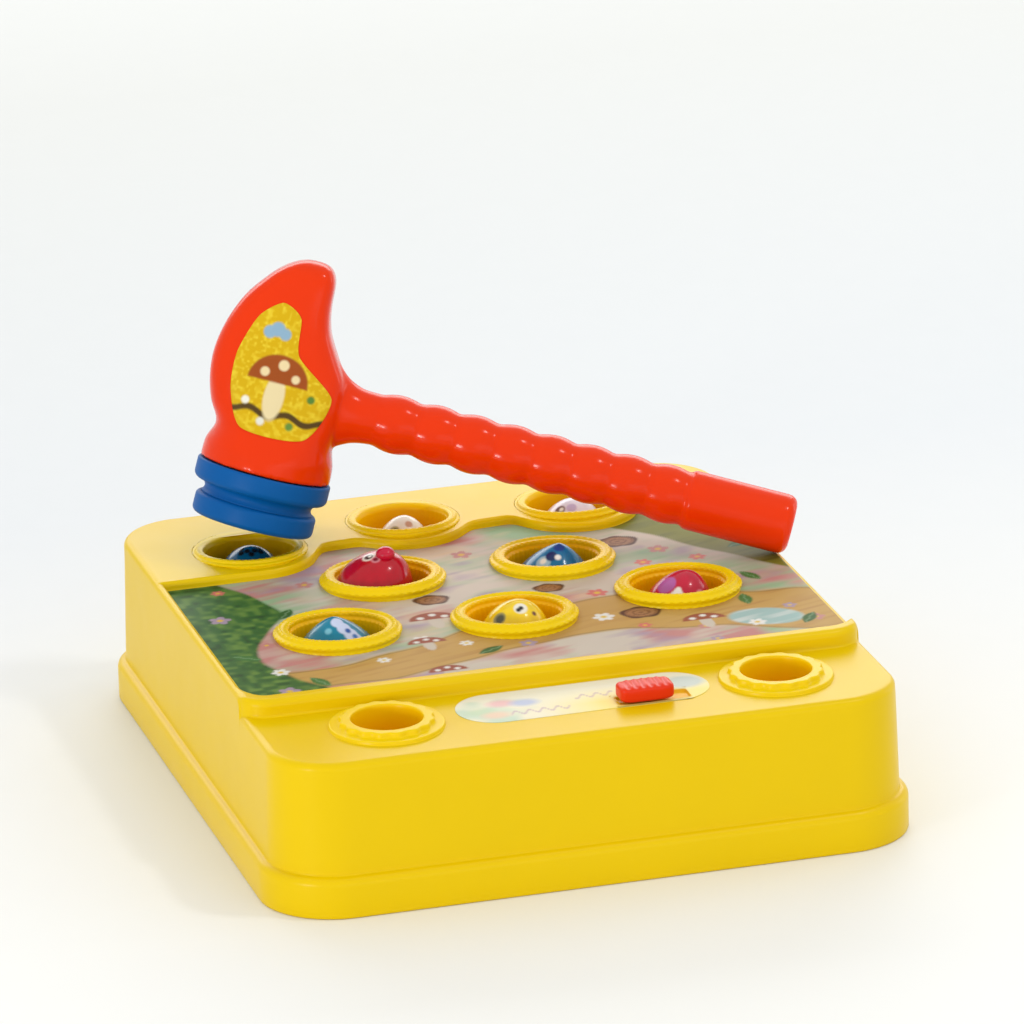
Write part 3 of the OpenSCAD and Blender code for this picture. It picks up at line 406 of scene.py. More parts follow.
# %% Openings and the case shell
def away(mid, spots, r):
    """True where a place is farther than r from every spot."""
    return np.all([np.hypot(mid[:, 0] - s[0], mid[:, 1] - s[1]) > r for s in spots], axis=0)


def over_track(mid, grow):
    """True where a place lies over the switch's track, with the track grown by a margin all round."""
    along = (mid[:, 0] > TRACK[0] - grow) & (mid[:, 0] < TRACK[1] + grow)
    return along & (mid[:, 1] > TRACK[2] - grow) & (mid[:, 1] < TRACK[3] + grow)


deck_points = deck.reshape(-1, 3)
deck_faces = cells(rows, cols)
face_mid = deck_points[deck_faces].mean(1)
keep = away(face_mid, HOLES.values(), HOLE_CUT_R) & away(face_mid, SOCKETS.values(), SOCKET_CUT_R)
deck_faces = deck_faces[keep & ~over_track(face_mid, grow=-1)]
wall_numbers = np.vstack([rim_loop, rows * cols + np.arange(wall[..., 0].size).reshape(wall.shape[:2])])
next_numbers = np.roll(wall_numbers, -1, 1)
wall_faces = np.stack([wall_numbers[:-1], wall_numbers[1:], next_numbers[1:], next_numbers[:-1]], -1)
case_shell = add_piece(
    "case_shell", np.vstack([deck_points, wall.reshape(-1, 3)]),
    np.vstack([deck_faces, wall_faces.reshape(-1, 4)]),
    "case", shell_yellow, ("top_shell",), outward=False,
)
print("case shell faces:", len(case_shell.data.polygons))

# %% [markdown]
# Each mole's hole has a moulded ring: a fat round bead with ridges that are nicked like a rope, and a well
# below it. The bead is highest at the front and falls towards the back, where the back row's beads run out
# into the deck. Ridges are a wave across the bead and nicks a wave along it. A screw or a displacement
# texture would do too, but a formula keeps the nicks in step with the ridges.

# %% Rings and wells
RING_NICKS, NICK_H, RIDGES, RIDGE_H = 44, 0.15, 6.5, 0.34
RIDGE_START, BEAD_DROP = np.radians(74), 0.35
APRON_R, APRON_Z = np.array([25.6, 25.2, 24.8, 24.5, 24.2]), np.array([-0.01, 0.01, 0.02, 0.03, 0.04])
SHELL_TINT_R = 24.15
# The second colour is painted shade: deep in the wells and the sockets' cups the yellow turns to this darker
# orange.
RING_YELLOW, WELL_SHADE_ORANGE = linear(236, 202, 2), linear(250, 188, 0)


def turned(r, z, x, y):
    """Points of revolution: radius and height tables over (profile, turn),
    turned round an upright axis at x, y."""
    theta = full_turn(r.shape[1])
    return tube(np.stack([x + r * np.cos(theta), y + r * np.sin(theta), z], -1))


def ring_and_well(x, y, top_z, flush, turn_steps=352):
    """A bead that falls towards the back: a circle with ridges across it and nicks along it;
    then the well's wall and floor."""
    inner, outer, fall = (18.6, 23.7, 2.7) if flush else (18.9, 25.7, 2.6)
    mid_r, bead_r = (outer + inner) / 2, (outer - inner) / 2
    phi = np.radians(np.linspace(0 if flush else -50, 180, 70))[:, None]
    theta = full_turn(turn_steps)[None]
    ridge = np.cos(RIDGES * (phi - RIDGE_START))
    nick = np.cos(RING_NICKS * theta + 1.6 * np.sign(np.sin(RIDGES / 2 * (phi - RIDGE_START))))
    relief = 0.5 - 0.5 * np.sin(theta) if flush else 1.0
    bead = bead_r + relief * (RIDGE_H * ridge + NICK_H * np.clip(ridge + 0.3, 0, 1) * nick)
    crest = top_z - fall * (0.5 + 0.5 * np.sin(theta))
    r, z = mid_r + bead * np.cos(phi), crest - bead_r - BEAD_DROP + bead * np.sin(phi)
    whole = np.ones((1, turn_steps))
    if flush:
        z = np.where(phi < np.pi / 2, np.maximum(z, DECK_Z + APRON_Z[-1]), z)
        r = np.vstack([APRON_R[:, None] * whole, r])
        z = np.vstack([(DECK_Z + APRON_Z[:, None]) * whole, z])
    down_r = np.array([inner, inner, inner, inner - 0.3, inner - 1.2, 12.0, 5.6, 5.3, 5.3])
    down_z = np.array([62.0, 56.0, 51.4, 50.5, 50.0, 50.0, 50.0, 49.6, 46.0])
    return turned(np.vstack([r, down_r[:, None] * whole]), np.vstack([z, down_z[:, None] * whole]), x, y)


print("nicks round a ring:", RING_NICKS)

# %% Ring colours
def sunk_shade_colours(points, reach, top, depth, within):
    """Painted shade: ring yellow that darkens to orange over a depth below the top, within a radius of the
    axis.
    """
    deep = np.clip((top - points[:, 2]) / depth, 0, 1) * (reach < within)
    return RING_YELLOW + deep[:, None] * (WELL_SHADE_ORANGE - RING_YELLOW)


for name, (hx, hy, top_z) in HOLES.items():
    flush = name.startswith("back")
    points, faces = ring_and_well(hx, hy, top_z, flush)
    reach = np.hypot(points[:, 0] - hx, points[:, 1] - hy)
    # Painted shade: the bead's inner side and the well darken to orange with depth.
    colours = sunk_shade_colours(points, reach, top=70.0, depth=4, within=20.5)
    if flush:
        colours[reach > SHELL_TINT_R] = SHELL_YELLOW
    add_piece("ring_" + name, points, faces, "case", ring_yellow, (), colours, outward=False)
print("rings:", len(HOLES))

# %% [markdown]
# Two sockets in the step hold a hammer upright. Each is a low mound of two flat terraces round
# a cup; the upper terrace has a petalled edge. One profile again, with a wave along the turn.

# %% Sockets
PETALS, PETAL_H = 16, 0.5


def socket(x, y, turn_steps=288):
    """Two flat terraces and a lip as one profile; the upper terrace's edge waves in and out
    as a cosine of the turn."""
    r = np.array([23.2, 22.9, 22.75, 22.7, 22.55, 22.2, 21.8, 19.6, 18.9, 18.6, 18.45, 18.35, 18.2, 17.9,
                  17.4, 15.0, 14.6, 14.35, 14.2, 14.1, 14.0, 14.0, 13.8, 13.2, 8.0, 0.0])
    z = np.array([61.9, 62.05, 62.4, 63.0, 63.3, 63.4, 63.4, 63.4, 63.45, 63.7, 64.3, 64.9, 65.3, 65.5, 65.5,
                  65.5, 65.5, 65.35, 65.0, 64.0, 50.0, 31.2, 30.4, 30.0, 30.0, 30.0])
    wave = np.array([0, 0, 0, 0, 0, 0, 0, 0.2, 0.8, 1, 1, 1, 1, 1, 0.7] + [0] * 11)
    petal = PETAL_H * np.cos(PETALS * full_turn(turn_steps))
    return turned(r[:, None] + wave[:, None] * petal, z[:, None] + 0 * petal, x, y)


for name, (sx, sy) in SOCKETS.items():
    points, faces = socket(sx, sy)
    reach = np.hypot(points[:, 0] - sx, points[:, 1] - sy)
    # Painted shade: the cup darkens to orange with depth.
    colours = sunk_shade_colours(points, reach, top=66.0, depth=5, within=14.6)
    add_piece("socket_" + name, points, faces, "case", ring_yellow,
              (), colours, outward=False)
print("sockets:", len(SOCKETS))

# %% [markdown]
# The hammer lies slanted across the case. It is drawn in its own frame, handle along x and head along z, and
# then turned and set down. Its body is blow-moulded in one piece: head, neck and handle run into each other.

# %% The hammer's own frame
HAMMER_SPOT = np.array([-62.9, 95.9, 132.3])
HAMMER_TURN = np.array(Euler(np.radians([-13.0, 15.0, -21.0]), "XYZ").to_matrix())


def at_hammer(points):
    """Points of the hammer's own frame, turned and moved to where it lies on the case."""
    return points @ HAMMER_TURN.T + HAMMER_SPOT


def smooth(at, knots, values):
    """A curve through the values at the knots: a cubic between neighbours,
    whose slope at a knot is a weighted mean of the slopes on both sides."""
    knots, values = np.array(knots, float), np.array(values, float)
    slope = np.gradient(values, knots)
    i = np.clip(np.searchsorted(knots, at) - 1, 0, len(knots) - 2)
    h = knots[i + 1] - knots[i]
    t = np.clip((at - knots[i]) / h, 0, 1)
    start = (1 + 2 * t) * (1 - t) ** 2 * values[i] + t * (1 - t) ** 2 * h * slope[i]
    return start + t * t * (3 - 2 * t) * values[i + 1] + t * t * (t - 1) * h * slope[i + 1]


print("hammer's head axis:", HAMMER_TURN[:, 2].round(3))

# %% [markdown]
# The head is a stack of slices, each a squared-off oval from the back edge to the front edge. It starts as a
# round foot, draws in at the waist, and then becomes a curved fin with flat sides that lean towards each
# other. At the top the ovals shrink along a quarter of an oval, which makes the blunt tip.

# %% Slices of the hammer's head
FOOT_Z, TIP_Z, CAP_Z, CAP_POWER = -31.4, 57.0, 46.0, 2.7
HEAD_Z = [-31.4, -24, -16.4, -8, 2, 12, 21, 30, 38, 46, 57]
HEAD_BACK = [-27.2, -26.8, -24.2, -28.4, -31.3, -32.1, -30.9, -28.2, -24.4, -18.4, -9]
HEAD_FRONT = [27.2, 26.7, 24.6, 25.4, 25.2, 23.2, 17.6, 12.6, 10.6, 10.0, 10.0]
HEAD_HALF = [27.2, 26.4, 23.6, 20.9, 19.5, 18.1, 16.8, 15.6, 14.4, 13.2, 11.8]


def head_slice(z):
    """Middle, half width, half thickness and squareness of the head at height z."""
    up_cap = np.clip((z - CAP_Z) / (TIP_Z - CAP_Z), 0, 1)
    cap = np.maximum(1 - up_cap**CAP_POWER, 0) ** (1 / CAP_POWER)
    x_back, x_front = smooth(z, HEAD_Z, HEAD_BACK), smooth(z, HEAD_Z, HEAD_FRONT)
    half_y = cap * smooth(z, HEAD_Z, HEAD_HALF)
    squareness = np.interp(z, [-28, -12, 10], [2.0, 2.8, 4.2])
    return (x_back + x_front) / 2, cap * (x_front - x_back) / 2, half_y, squareness


def squared(wave, squareness):
    """A sine or cosine raised to 2 / squareness with its sign kept, which squares off an oval."""
    return np.sign(wave) * np.abs(wave) ** (2 / squareness)


def hammer_head(turn_steps=120):
    """Slices from the foot to the tip, each an oval that is squared off by its squareness."""
    tip_z = CAP_Z + (TIP_Z - CAP_Z) * np.sin(np.linspace(0, np.pi / 2, 16))
    z = np.concatenate([[FOOT_Z], np.arange(FOOT_Z, CAP_Z, 1.2), tip_z])
    middle, wide, thick, square = (v[:, None] for v in head_slice(z))
    theta = full_turn(turn_steps)[None]
    x = middle + wide * squared(np.cos(theta), square)
    y = thick * squared(np.sin(theta), square)
    x[0], y[0] = 0, 0
    return tube(np.stack([x, y, z[:, None] + 0 * x], -1))


print("tip of the head:", TIP_Z, "mm above the handle's axis")

# %% [markdown]
# Neck and handle are one more stack of ovals, along x. The neck flares into the head; the grip has eight
# beads, made by the size of a sine, and ends in a plain sleeve with a rounded end. Voxel remeshing then
# welds head and handle into one skin, and a little smoothing leaves the soft fillet of a blown part.

# %% Neck and handle
NECK_X, GRIP_X, BEAD_PITCH, BEADS, HANDLE_END = 4.0, 39.8, 16.3, 8, 215.0
GRIP_R, BEAD_H, SLEEVE_R, END_R = 10.5, 1.7, 12.4, 4.0
SLEEVE_X = GRIP_X + BEAD_PITCH * BEADS


def handle_radius(x):
    """Radius along the handle: beads as the size of a sine, then a plain sleeve
    that rounds off at its end."""
    beads = GRIP_R + BEAD_H * np.abs(np.sin(np.pi * (x - GRIP_X) / BEAD_PITCH)) ** 0.9
    past = np.clip((x - HANDLE_END + END_R) / END_R, 0, 1)
    return np.where(x < SLEEVE_X, beads, SLEEVE_R - END_R * (1 - np.sqrt(1 - past**2)))


def hammer_handle(turn_steps=96):
    """Ovals along x between an upper and a lower line; past the neck both lines follow
    the handle's radius."""
    neck_x, grip_x = np.arange(NECK_X, GRIP_X, 1.0), np.arange(GRIP_X, HANDLE_END - END_R, 0.8)
    end_x = HANDLE_END - END_R * (1 - np.sin(np.linspace(0, np.pi / 2, 9)))
    x = np.concatenate([[NECK_X], neck_x, grip_x, end_x, [HANDLE_END]])
    in_neck, radius = x < GRIP_X, handle_radius(x)
    upper = np.where(in_neck, smooth(x, [4, 12, 18, 24, 30, 40], [30, 26.5, 20.2, 14.2, 11.3, 10.5]), radius)
    lower = np.where(in_neck, smooth(x, [4, 16, 24, 31, 40], [-22, -19.5, -15.8, -12.2, -10.5]), -radius)
    half_y = np.where(in_neck, smooth(x, [4, 14, 22, 30, 40], [15, 14.5, 12.6, 11.0, 10.5]), radius)
    size = np.ones(len(x))
    size[[0, -1]] = 0
    theta = full_turn(turn_steps)
    y = (half_y * size)[:, None] * np.cos(theta)
    z = ((upper + lower) / 2)[:, None] + ((upper - lower) / 2 * size)[:, None] * np.sin(theta)
    return tube(np.stack([x[:, None] + 0 * y, y, z], -1))


print("handle's end:", HANDLE_END, "mm from the head's axis")

# %% One skin for head and handle
VOXEL_MM = 0.9
body_points, body_faces = joined(hammer_head(), hammer_handle())
hammer_skin = add_piece(
    "hammer_skin", at_hammer(body_points), body_faces,
    "hammer", hammer_orange, ("hammer_body",),
)
weld_skin = hammer_skin.modifiers.new("weld", "REMESH")
weld_skin.mode, weld_skin.voxel_size, weld_skin.use_smooth_shade = "VOXEL", VOXEL_MM * MM, True
soften = hammer_skin.modifiers.new("soften", "SMOOTH")
soften.factor, soften.iterations = 0.5, 10
print("hammer skin: remeshed at", weld_skin.voxel_size, "m")

# %% [markdown]
# The bellows is soft blue vinyl: a ring that grips the foot, one deep fold, and the striking face. Each is a
# closed profile turned round the head's axis. The fold crosses the press joint and stays where it is made, on
# neither body.

# %% Bellows
def soft_bar(r_in, r_out, z_low, z_high, corner):
    """Profile of a ring with rounded outer corners, from its inner top to its inner bottom."""
    low_r, high_r = corner
    a = np.radians(np.linspace(90, 0, 9))
    across, down = 1 - np.cos(a), 1 - np.sin(a)
    r = np.concatenate([[r_in], r_out - high_r * across, r_out - low_r * across[::-1], [r_in]])
    z = np.concatenate([[z_high], z_high - high_r * down, z_low + low_r * down[::-1], [z_low]])
    return r, z


def hammer_ring(name, profile, body, loop, replaced, turn_steps=160):
    """A profile turned round the head's axis, as a piece of the given body."""
    r, z = (v[:, None] for v in profile)
    theta = full_turn(turn_steps)
    points, faces = tube(np.stack([r * np.cos(theta), r * np.sin(theta), z + 0 * theta], -1), loop)
    return add_piece(name, at_hammer(points), faces, body, bellows_blue, replaced)


ring_profile = soft_bar(19.6, 27.9, -40.6, -31.75, (2.8, 0.9))
hammer_ring("bellows_ring", ring_profile, "hammer", True, ("bellows_collar",))
face_profile = soft_bar(0.0, 25.3, -54.6, -45.4, (2.4, 2.0))
hammer_ring("striking_face", face_profile, "bellows_face", False, ("bellows_face",))
fold_r = np.array([25.4, 23.9, 22.9, 22.4, 22.5, 23.0, 23.6, 22.0, 20.8, 20.6, 22.4, 24.0])
fold_z = np.array([-40.1, -40.9, -41.9, -43.0, -44.0, -44.8, -45.7, -45.8, -44.2, -42.8, -41.0, -40.0])
fold = hammer_ring("bellows_fold_skin", (fold_r, fold_z), None, True, ("bellows_fold",))
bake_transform(fold)
print("bellows pieces: ring, fold, face")

# %% [markdown]
# A sticker sits on each flat side of the head. Its outline is a smooth loop through nine corners, and rings
# inside it drape on the same slices as the head. The print is a toadstool under a cloud, on a
# ground of paint dabs.

# %% Outline of a sticker
STICKER_CORNERS = np.array([
    (-8.5, 38.5), (0, 34), (3, 19), (20, 5), (13, -13.5), (-13, -14.5), (-21, 0), (-22, 15), (-17, 31),
])
STICKER_MIDDLE = np.array([-5.0, 10.0])
LOOP_SLOPE = 0.36


def smooth_loop(corners, steps):
    """A closed curve through the corners: cubics whose slope at a corner is a share
    of its neighbours' distance."""
    t = np.arange(steps)[None, :, None] / steps
    a, b, c, d = (np.roll(corners, k, 0)[:, None] for k in (1, 0, -1, -2))
    start, end = LOOP_SLOPE * (c - a), LOOP_SLOPE * (d - b)
    ahead = (3 - 2 * t) * t**2
    curve = (1 - ahead) * b + ahead * c + (t**3 - 2 * t**2 + t) * start + (t**3 - t**2) * end
    return curve.reshape(-1, 2)


print("outline points:", len(smooth_loop(STICKER_CORNERS, 40)))

# %% Noise and ink helpers
def value_noise(u, v, seed):
    """Smooth random field from 0 to 1: seeded random values at whole numbers, eased between them."""
    table = np.random.default_rng(seed).random((64, 64))
    iu, iv = np.floor(u).astype(int), np.floor(v).astype(int)
    fu, fv = u - iu, v - iv
    fu, fv = fu * fu * (3 - 2 * fu), fv * fv * (3 - 2 * fv)
    near = table[iu % 64, iv % 64] * (1 - fv) + table[iu % 64, (iv + 1) % 64] * fv
    far = table[(iu + 1) % 64, iv % 64] * (1 - fv) + table[(iu + 1) % 64, (iv + 1) % 64] * fv
    return near * (1 - fu) + far * fu


def paint(ink, mask, colour):
    """The ink colours with one more colour laid over them, as strong as the mask."""
    return ink + np.clip(mask, 0, 1)[..., None] * (colour - ink)


def soft(d, edge=0.9):
    """A mask with a soft edge: 1 well inside a shape, 0 well outside, from the distance to its outline."""
    return np.clip(0.5 - d / edge, 0, 1)


def ground(x, colour):
    """One colour at every place of a grid."""
    return np.ones(x.shape + (3,)) * colour


print("edge of a soft mask:", soft(np.array([-1.0, 0.0, 1.0])))

# %% Print of a sticker
CAP_DOT, CLOUD = (248, 226, 176), (150, 186, 212)
STICKER_DOTS = (
    (-9, 10, 1.9, CAP_DOT), (-2, 14, 2.2, CAP_DOT), (4, 9.5, 1.7, CAP_DOT),
    (-11, 26, 2.6, CLOUD), (-8, 27.6, 3.0, CLOUD), (-4.6, 26.2, 2.4, CLOUD),
    (12, 3, 1.6, (96, 140, 60)), (-14, -3, 1.6, (250, 248, 236)),
    (6, -9.5, 1.6, (110, 150, 66)), (-6, -10, 1.6, (240, 240, 226)),
)


def sticker_print(x, z):
    """Golden ground with dabs, a toadstool of ovals on a dark ground line, a cloud of circles, and dots."""
    dab = value_noise(x * 0.9 + 40, z * 0.9 + 40, 3)
    ink = paint(ground(x, linear(226, 184, 18)), 1.6 * (dab - 0.45), linear(248, 222, 60))
    ink = paint(ink, soft(np.abs(z + 6.5 - 1.2 * np.sin(0.4 * x)) - 1.3), linear(92, 70, 34))
    ink = paint(ink, soft(np.hypot((x + 3) / 4.2, (z - 0.5) / 9.5) * 4.2 - 4.2), linear(246, 228, 178))
    cap = np.maximum(np.hypot((x + 3) / 12.5, (z - 6.5) / 11.5) * 11 - 11, 6.5 - z)
    ink = paint(ink, soft(cap), linear(168, 84, 34))
    for u, v, r, tint in STICKER_DOTS:
        ink = paint(ink, soft(np.hypot(x - u, z - v) - r), linear(*tint))
    return ink


print("dots on a sticker:", len(STICKER_DOTS))

# %% Stickers on the head
STICKER_OFF, STICKER_TUCK = 0.3, 0.7


def sticker(side, rings=56, steps=40):
    """Rings from the middle to the outline, laid just off the head's slices; the last ring turns in."""
    outline = smooth_loop(STICKER_CORNERS, steps)
    share = np.concatenate([np.linspace(0, 1, rings), [1.0]])[:, None, None]
    flat = STICKER_MIDDLE + share * (outline - STICKER_MIDDLE)
    x, z = flat[..., 0], flat[..., 1]
    middle, wide, thick, square = head_slice(z)
    y = thick * np.maximum(1 - np.abs((x - middle) / wide) ** square, 0) ** (1 / square) + STICKER_OFF
    y[-1] -= STICKER_TUCK
    points, faces = tube(np.stack([x, side * y, z], -1))
    return points, faces[:, ::side], sticker_print(x, z).reshape(-1, 3)


for name, side_y in (("near", -1), ("far", 1)):
    points, faces, colours = sticker(side_y)
    add_piece("sticker_" + name, at_hammer(points), faces, "hammer", printed_sticker,
              ("hammer_sticker_" + name,), colours, outward=False)
print("stickers: 2")

# %% [markdown]
# A printed card lies in the sunk field. On a real toy it is offset-printed and glued down. Here it is a fine
# grid whose rows run from the front edge to the wavy shelf, with a colour at each point. The picture is a
# garden of the maker's own: a path, a hedge, a bank, a pond, and small plants, each from a distance formula.

# %% Colours and plants of the garden
LEAF, MOSS, MINT = linear(66, 112, 50), linear(132, 134, 44), linear(160, 194, 150)
MILK, SAND, CLAY = linear(218, 206, 188), linear(210, 168, 92), linear(164, 84, 56)
ROSE, LILAC, WHITE = linear(208, 144, 138), linear(180, 158, 178), linear(246, 244, 236)
HONEY, SKY, BARK = linear(240, 202, 64), linear(170, 202, 196), linear(98, 62, 44)


def flower(ink, x, y, spot, r, petals, colour):
    """A flower seen from above: its outline's radius swings with the angle, with a round heart."""
    d, angle = np.hypot(x - spot[0], y - spot[1]), np.arctan2(y - spot[1], x - spot[0])
    ink = paint(ink, soft(d - r * (0.62 + 0.38 * np.abs(np.cos(petals * angle / 2)))), colour)
    return paint(ink, soft(d - 0.28 * r), HONEY)


def toadstool(ink, x, y, spot, r):
    """A stalk as a slim oval, a cap as half an oval above it, and three pale dots on the cap."""
    u, v = (x - spot[0]) / r, (y - spot[1]) / r
    ink = paint(ink, soft((np.hypot(u / 0.3, (v + 0.35) / 0.75) - 1) * r * 0.4), MILK)
    cap = np.maximum(np.hypot(u, v * 1.25) - 1, -v)
    ink = paint(ink, soft(cap * r), CLAY)
    for du, dv in ((-0.5, 0.25), (0.05, 0.5), (0.5, 0.22)):
        ink = paint(ink, soft((np.hypot(u - du, v - dv) - 0.15) * r), WHITE)
    return ink


def stump(ink, x, y, spot, r):
    """A sawn log from above: a wavy round of bark, a pale middle, year rings as a sine of the distance."""
    d, angle = np.hypot(x - spot[0], (y - spot[1]) * 1.3), np.arctan2(y - spot[1], x - spot[0])
    ink = paint(ink, soft(d - r * (1 + 0.06 * np.sin(5 * angle))), BARK)
    ink = paint(ink, soft(d - 0.78 * r), linear(176, 126, 84))
    return paint(ink, 0.7 * soft(d - 0.74 * r) * (np.sin(d * 9 / r * 2.2) > 0.3), linear(128, 84, 56))


def leaf(ink, x, y, spot, r, turn):
    """A leaf: two arcs that meet in points, with a pale rib along the middle, turned by an angle."""
    u = (np.cos(turn) * (x - spot[0]) + np.sin(turn) * (y - spot[1])) / r
    v = (np.cos(turn) * (y - spot[1]) - np.sin(turn) * (x - spot[0])) / r
    ink = paint(ink, soft((np.abs(v) - 0.42 * (1 - u**2)) * r), LEAF * (1.3 if turn > 1 else 0.9))
    rib = np.abs(v - 0.05 * np.sin(9 * u)) - 0.04 + 2 * np.maximum(np.abs(u) - 0.9, 0)
    return paint(ink, 0.6 * soft(rib * r), MINT)


print("plants: flower, toadstool, stump, leaf")

# %% Ground of the garden
def brushed(x, y, seed):
    """Brush strokes: value noise that is drawn out along a slanted direction, from -0.5 to 0.5."""
    u, v = 0.95 * x + 0.3 * y, 0.95 * y - 0.3 * x
    return value_noise(u * 0.06 + 30, v * 0.45 + 30, seed) - 0.5


def patches(x, y, seed, scale):
    """Soft wide patches: value noise on two scales, from -0.5 to 0.5."""
    wide = value_noise(x * scale + 30, y * scale * 1.7 + 30, seed)
    return 0.7 * wide + 0.3 * value_noise(x * scale * 3 + 10, y * scale * 4 + 10, seed + 1) - 0.5


def garden_print(x, y):
    """Soft meadow patches under faint strokes, then path, hedge, bank and pond by distance to lines."""
    ink = paint(ground(x, MILK), 0.35 + 2.4 * patches(x, y, 41, 0.03) + 0.5 * brushed(x, y, 11), MINT)
    ink = paint(ink, 3.2 * patches(x, y, 43, 0.035) + 0.7 * brushed(x, y, 12) - 0.1, ROSE)
    ink = paint(ink, 3.2 * patches(x, y, 45, 0.045) + 0.7 * brushed(x, y, 13) - 0.35, LILAC)
    ink = paint(ink, 3.0 * patches(x, y, 47, 0.028) + 0.5 * brushed(x, y, 19) - 0.5, linear(234, 206, 164))
    wander = 6 * (value_noise(x * 0.05 + 9, y * 0.05 + 9, 14) - 0.5)
    path = np.abs(y + 40 - 16 * np.sin(x / 40.0 + 0.6) + wander) - 17 - 0.07 * x
    gravel = paint(ground(x, SAND), 1.4 * brushed(x, y, 15), linear(190, 142, 76))
    ink = paint(ink, soft(path, 2.5), gravel)
    ink = paint(ink, soft(np.abs(path + 1.0) - 0.5) * 0.6, linear(140, 116, 60))
    hedge = x + 96 - 10 * np.sin(y / 17.0) + wander * 1.5
    tuft = value_noise(x * 0.33 + 20, y * 0.33 + 20, 16)
    green = paint(ground(x, LEAF), 2.2 * (tuft - 0.45), linear(112, 150, 66))
    ink = paint(ink, soft(hedge, 2), paint(green, 2.2 * (0.3 - tuft), linear(40, 62, 34)))
    bank = 92 - x + 0.75 * (48 - y) + wander
    grass = paint(ground(x, MOSS), 1.6 * brushed(x, y, 17), linear(108, 110, 36))
    ink = paint(ink, soft(bank, 2), grass)
    pond = np.hypot((x - 98) / 1.5, y + 47 + 0.2 * x - 18) - 10 + 0.4 * wander
    return paint(ink, soft(pond, 1.5), paint(ground(x, SKY), 1.6 * brushed(x, y, 18), WHITE))


print("ground: meadow, path, hedge, bank, pond")

# %% [markdown]
# Flowers, toadstools, sawn logs and leaves are sown by a seeded random table, and kept clear of the holes'
# rings.

# %% Places and grid of the card
CARD_LEFT, CARD_RIGHT, CARD_FRONT, CARD_Z, CARD_T = -122.9, 124.2, -74.7, 65.4, 0.4
CARD_CUT_R, SHELF_GAP, RING_CLEAR, TRIES = 24.5, 0.35, 30, 400


def sown(count, clear, seed):
    """Random spots on the card that lie clear of the rings and of each other."""
    rng = np.random.default_rng(seed)
    tried_x = rng.uniform(CARD_LEFT + 8, CARD_RIGHT - 8, TRIES)
    tried_y = rng.uniform(CARD_FRONT + 7, 66, TRIES)
    spots = []
    for x, y in zip(tried_x, tried_y):
        taken = spots + [h[:2] for h in HOLES.values()]
        room = [clear] * len(spots) + [RING_CLEAR] * len(HOLES)
        if len(spots) < count and all(np.hypot(x - a, y - b) > r for (a, b), r in zip(taken, room)):
            spots.append((x, y))
    return spots


def sheet_height(shape, top, thick):
    """A flat sheet's height over a grid: its first and last row and column drop by the thickness."""
    z = np.full(shape, top)
    z[[0, -1]], z[:, [0, -1]] = top - thick, top - thick
    return z


def card_grid(columns=330, lines=226):
    """Rows from the front edge to the shelf; the first and last row and column turn down to the field."""
    x = np.concatenate([[CARD_LEFT], np.linspace(CARD_LEFT, CARD_RIGHT, columns), [CARD_RIGHT]])
    v = np.concatenate([[0], np.linspace(0, 1, lines), [1]])[:, None]
    corner = np.maximum(CARD_LEFT + FIELD_R - x, 0)
    front = CARD_FRONT + FIELD_R - np.sqrt(FIELD_R**2 - corner**2)
    y = front + v * (shelf_edge(x) - SHELF_GAP - front)
    return np.repeat(x[None], len(v), 0), y, sheet_height(y.shape, CARD_Z, CARD_T)


print("card width:", round(CARD_RIGHT - CARD_LEFT, 1), "mm")

# %% Game card
card_x, card_y, card_z = card_grid()
card_ink = garden_print(card_x, card_y)
for k, spot in enumerate(sown(count=22, clear=15, seed=5)):
    petal = (ROSE, WHITE, LILAC, linear(226, 120, 110))[k % 4]
    card_ink = flower(card_ink, card_x, card_y, spot, 3.0 + 0.8 * (k % 3), 5 + k % 2, petal)
for k, spot in enumerate(sown(count=16, clear=22, seed=8)):
    if k % 4 == 0:
        card_ink = toadstool(card_ink, card_x, card_y, spot, 8.0 + (k % 3))
    elif k % 4 == 2:
        card_ink = stump(card_ink, card_x, card_y, spot, 6.5 + (k % 3))
    else:
        card_ink = leaf(card_ink, card_x, card_y, spot, 6.5, 0.5 + 0.5 * (k % 5))
card_points = np.stack([card_x, card_y, card_z], -1).reshape(-1, 3)
card_faces = cells(*card_x.shape)
on_card = away(card_points[card_faces].mean(1), HOLES.values(), CARD_CUT_R)
add_piece("game_card", card_points, card_faces[on_card], "case", printed_sheet,
          ("game_sheet",), card_ink.reshape(-1, 3), outward=False)
print("game card faces:", int(on_card.sum()))

# %% [markdown]
# The switch sits on a pale label with rounded ends. Rows of the label run from its front edge to its back
# edge, which follow the round ends; the part over the switch's track is left out.

# %% Switch label
LABEL_X, LABEL_Y, LABEL_HALF, LABEL_R, LABEL_Z, LABEL_T = 4.2, -104.0, 51.2, 16.0, 62.2, 0.2


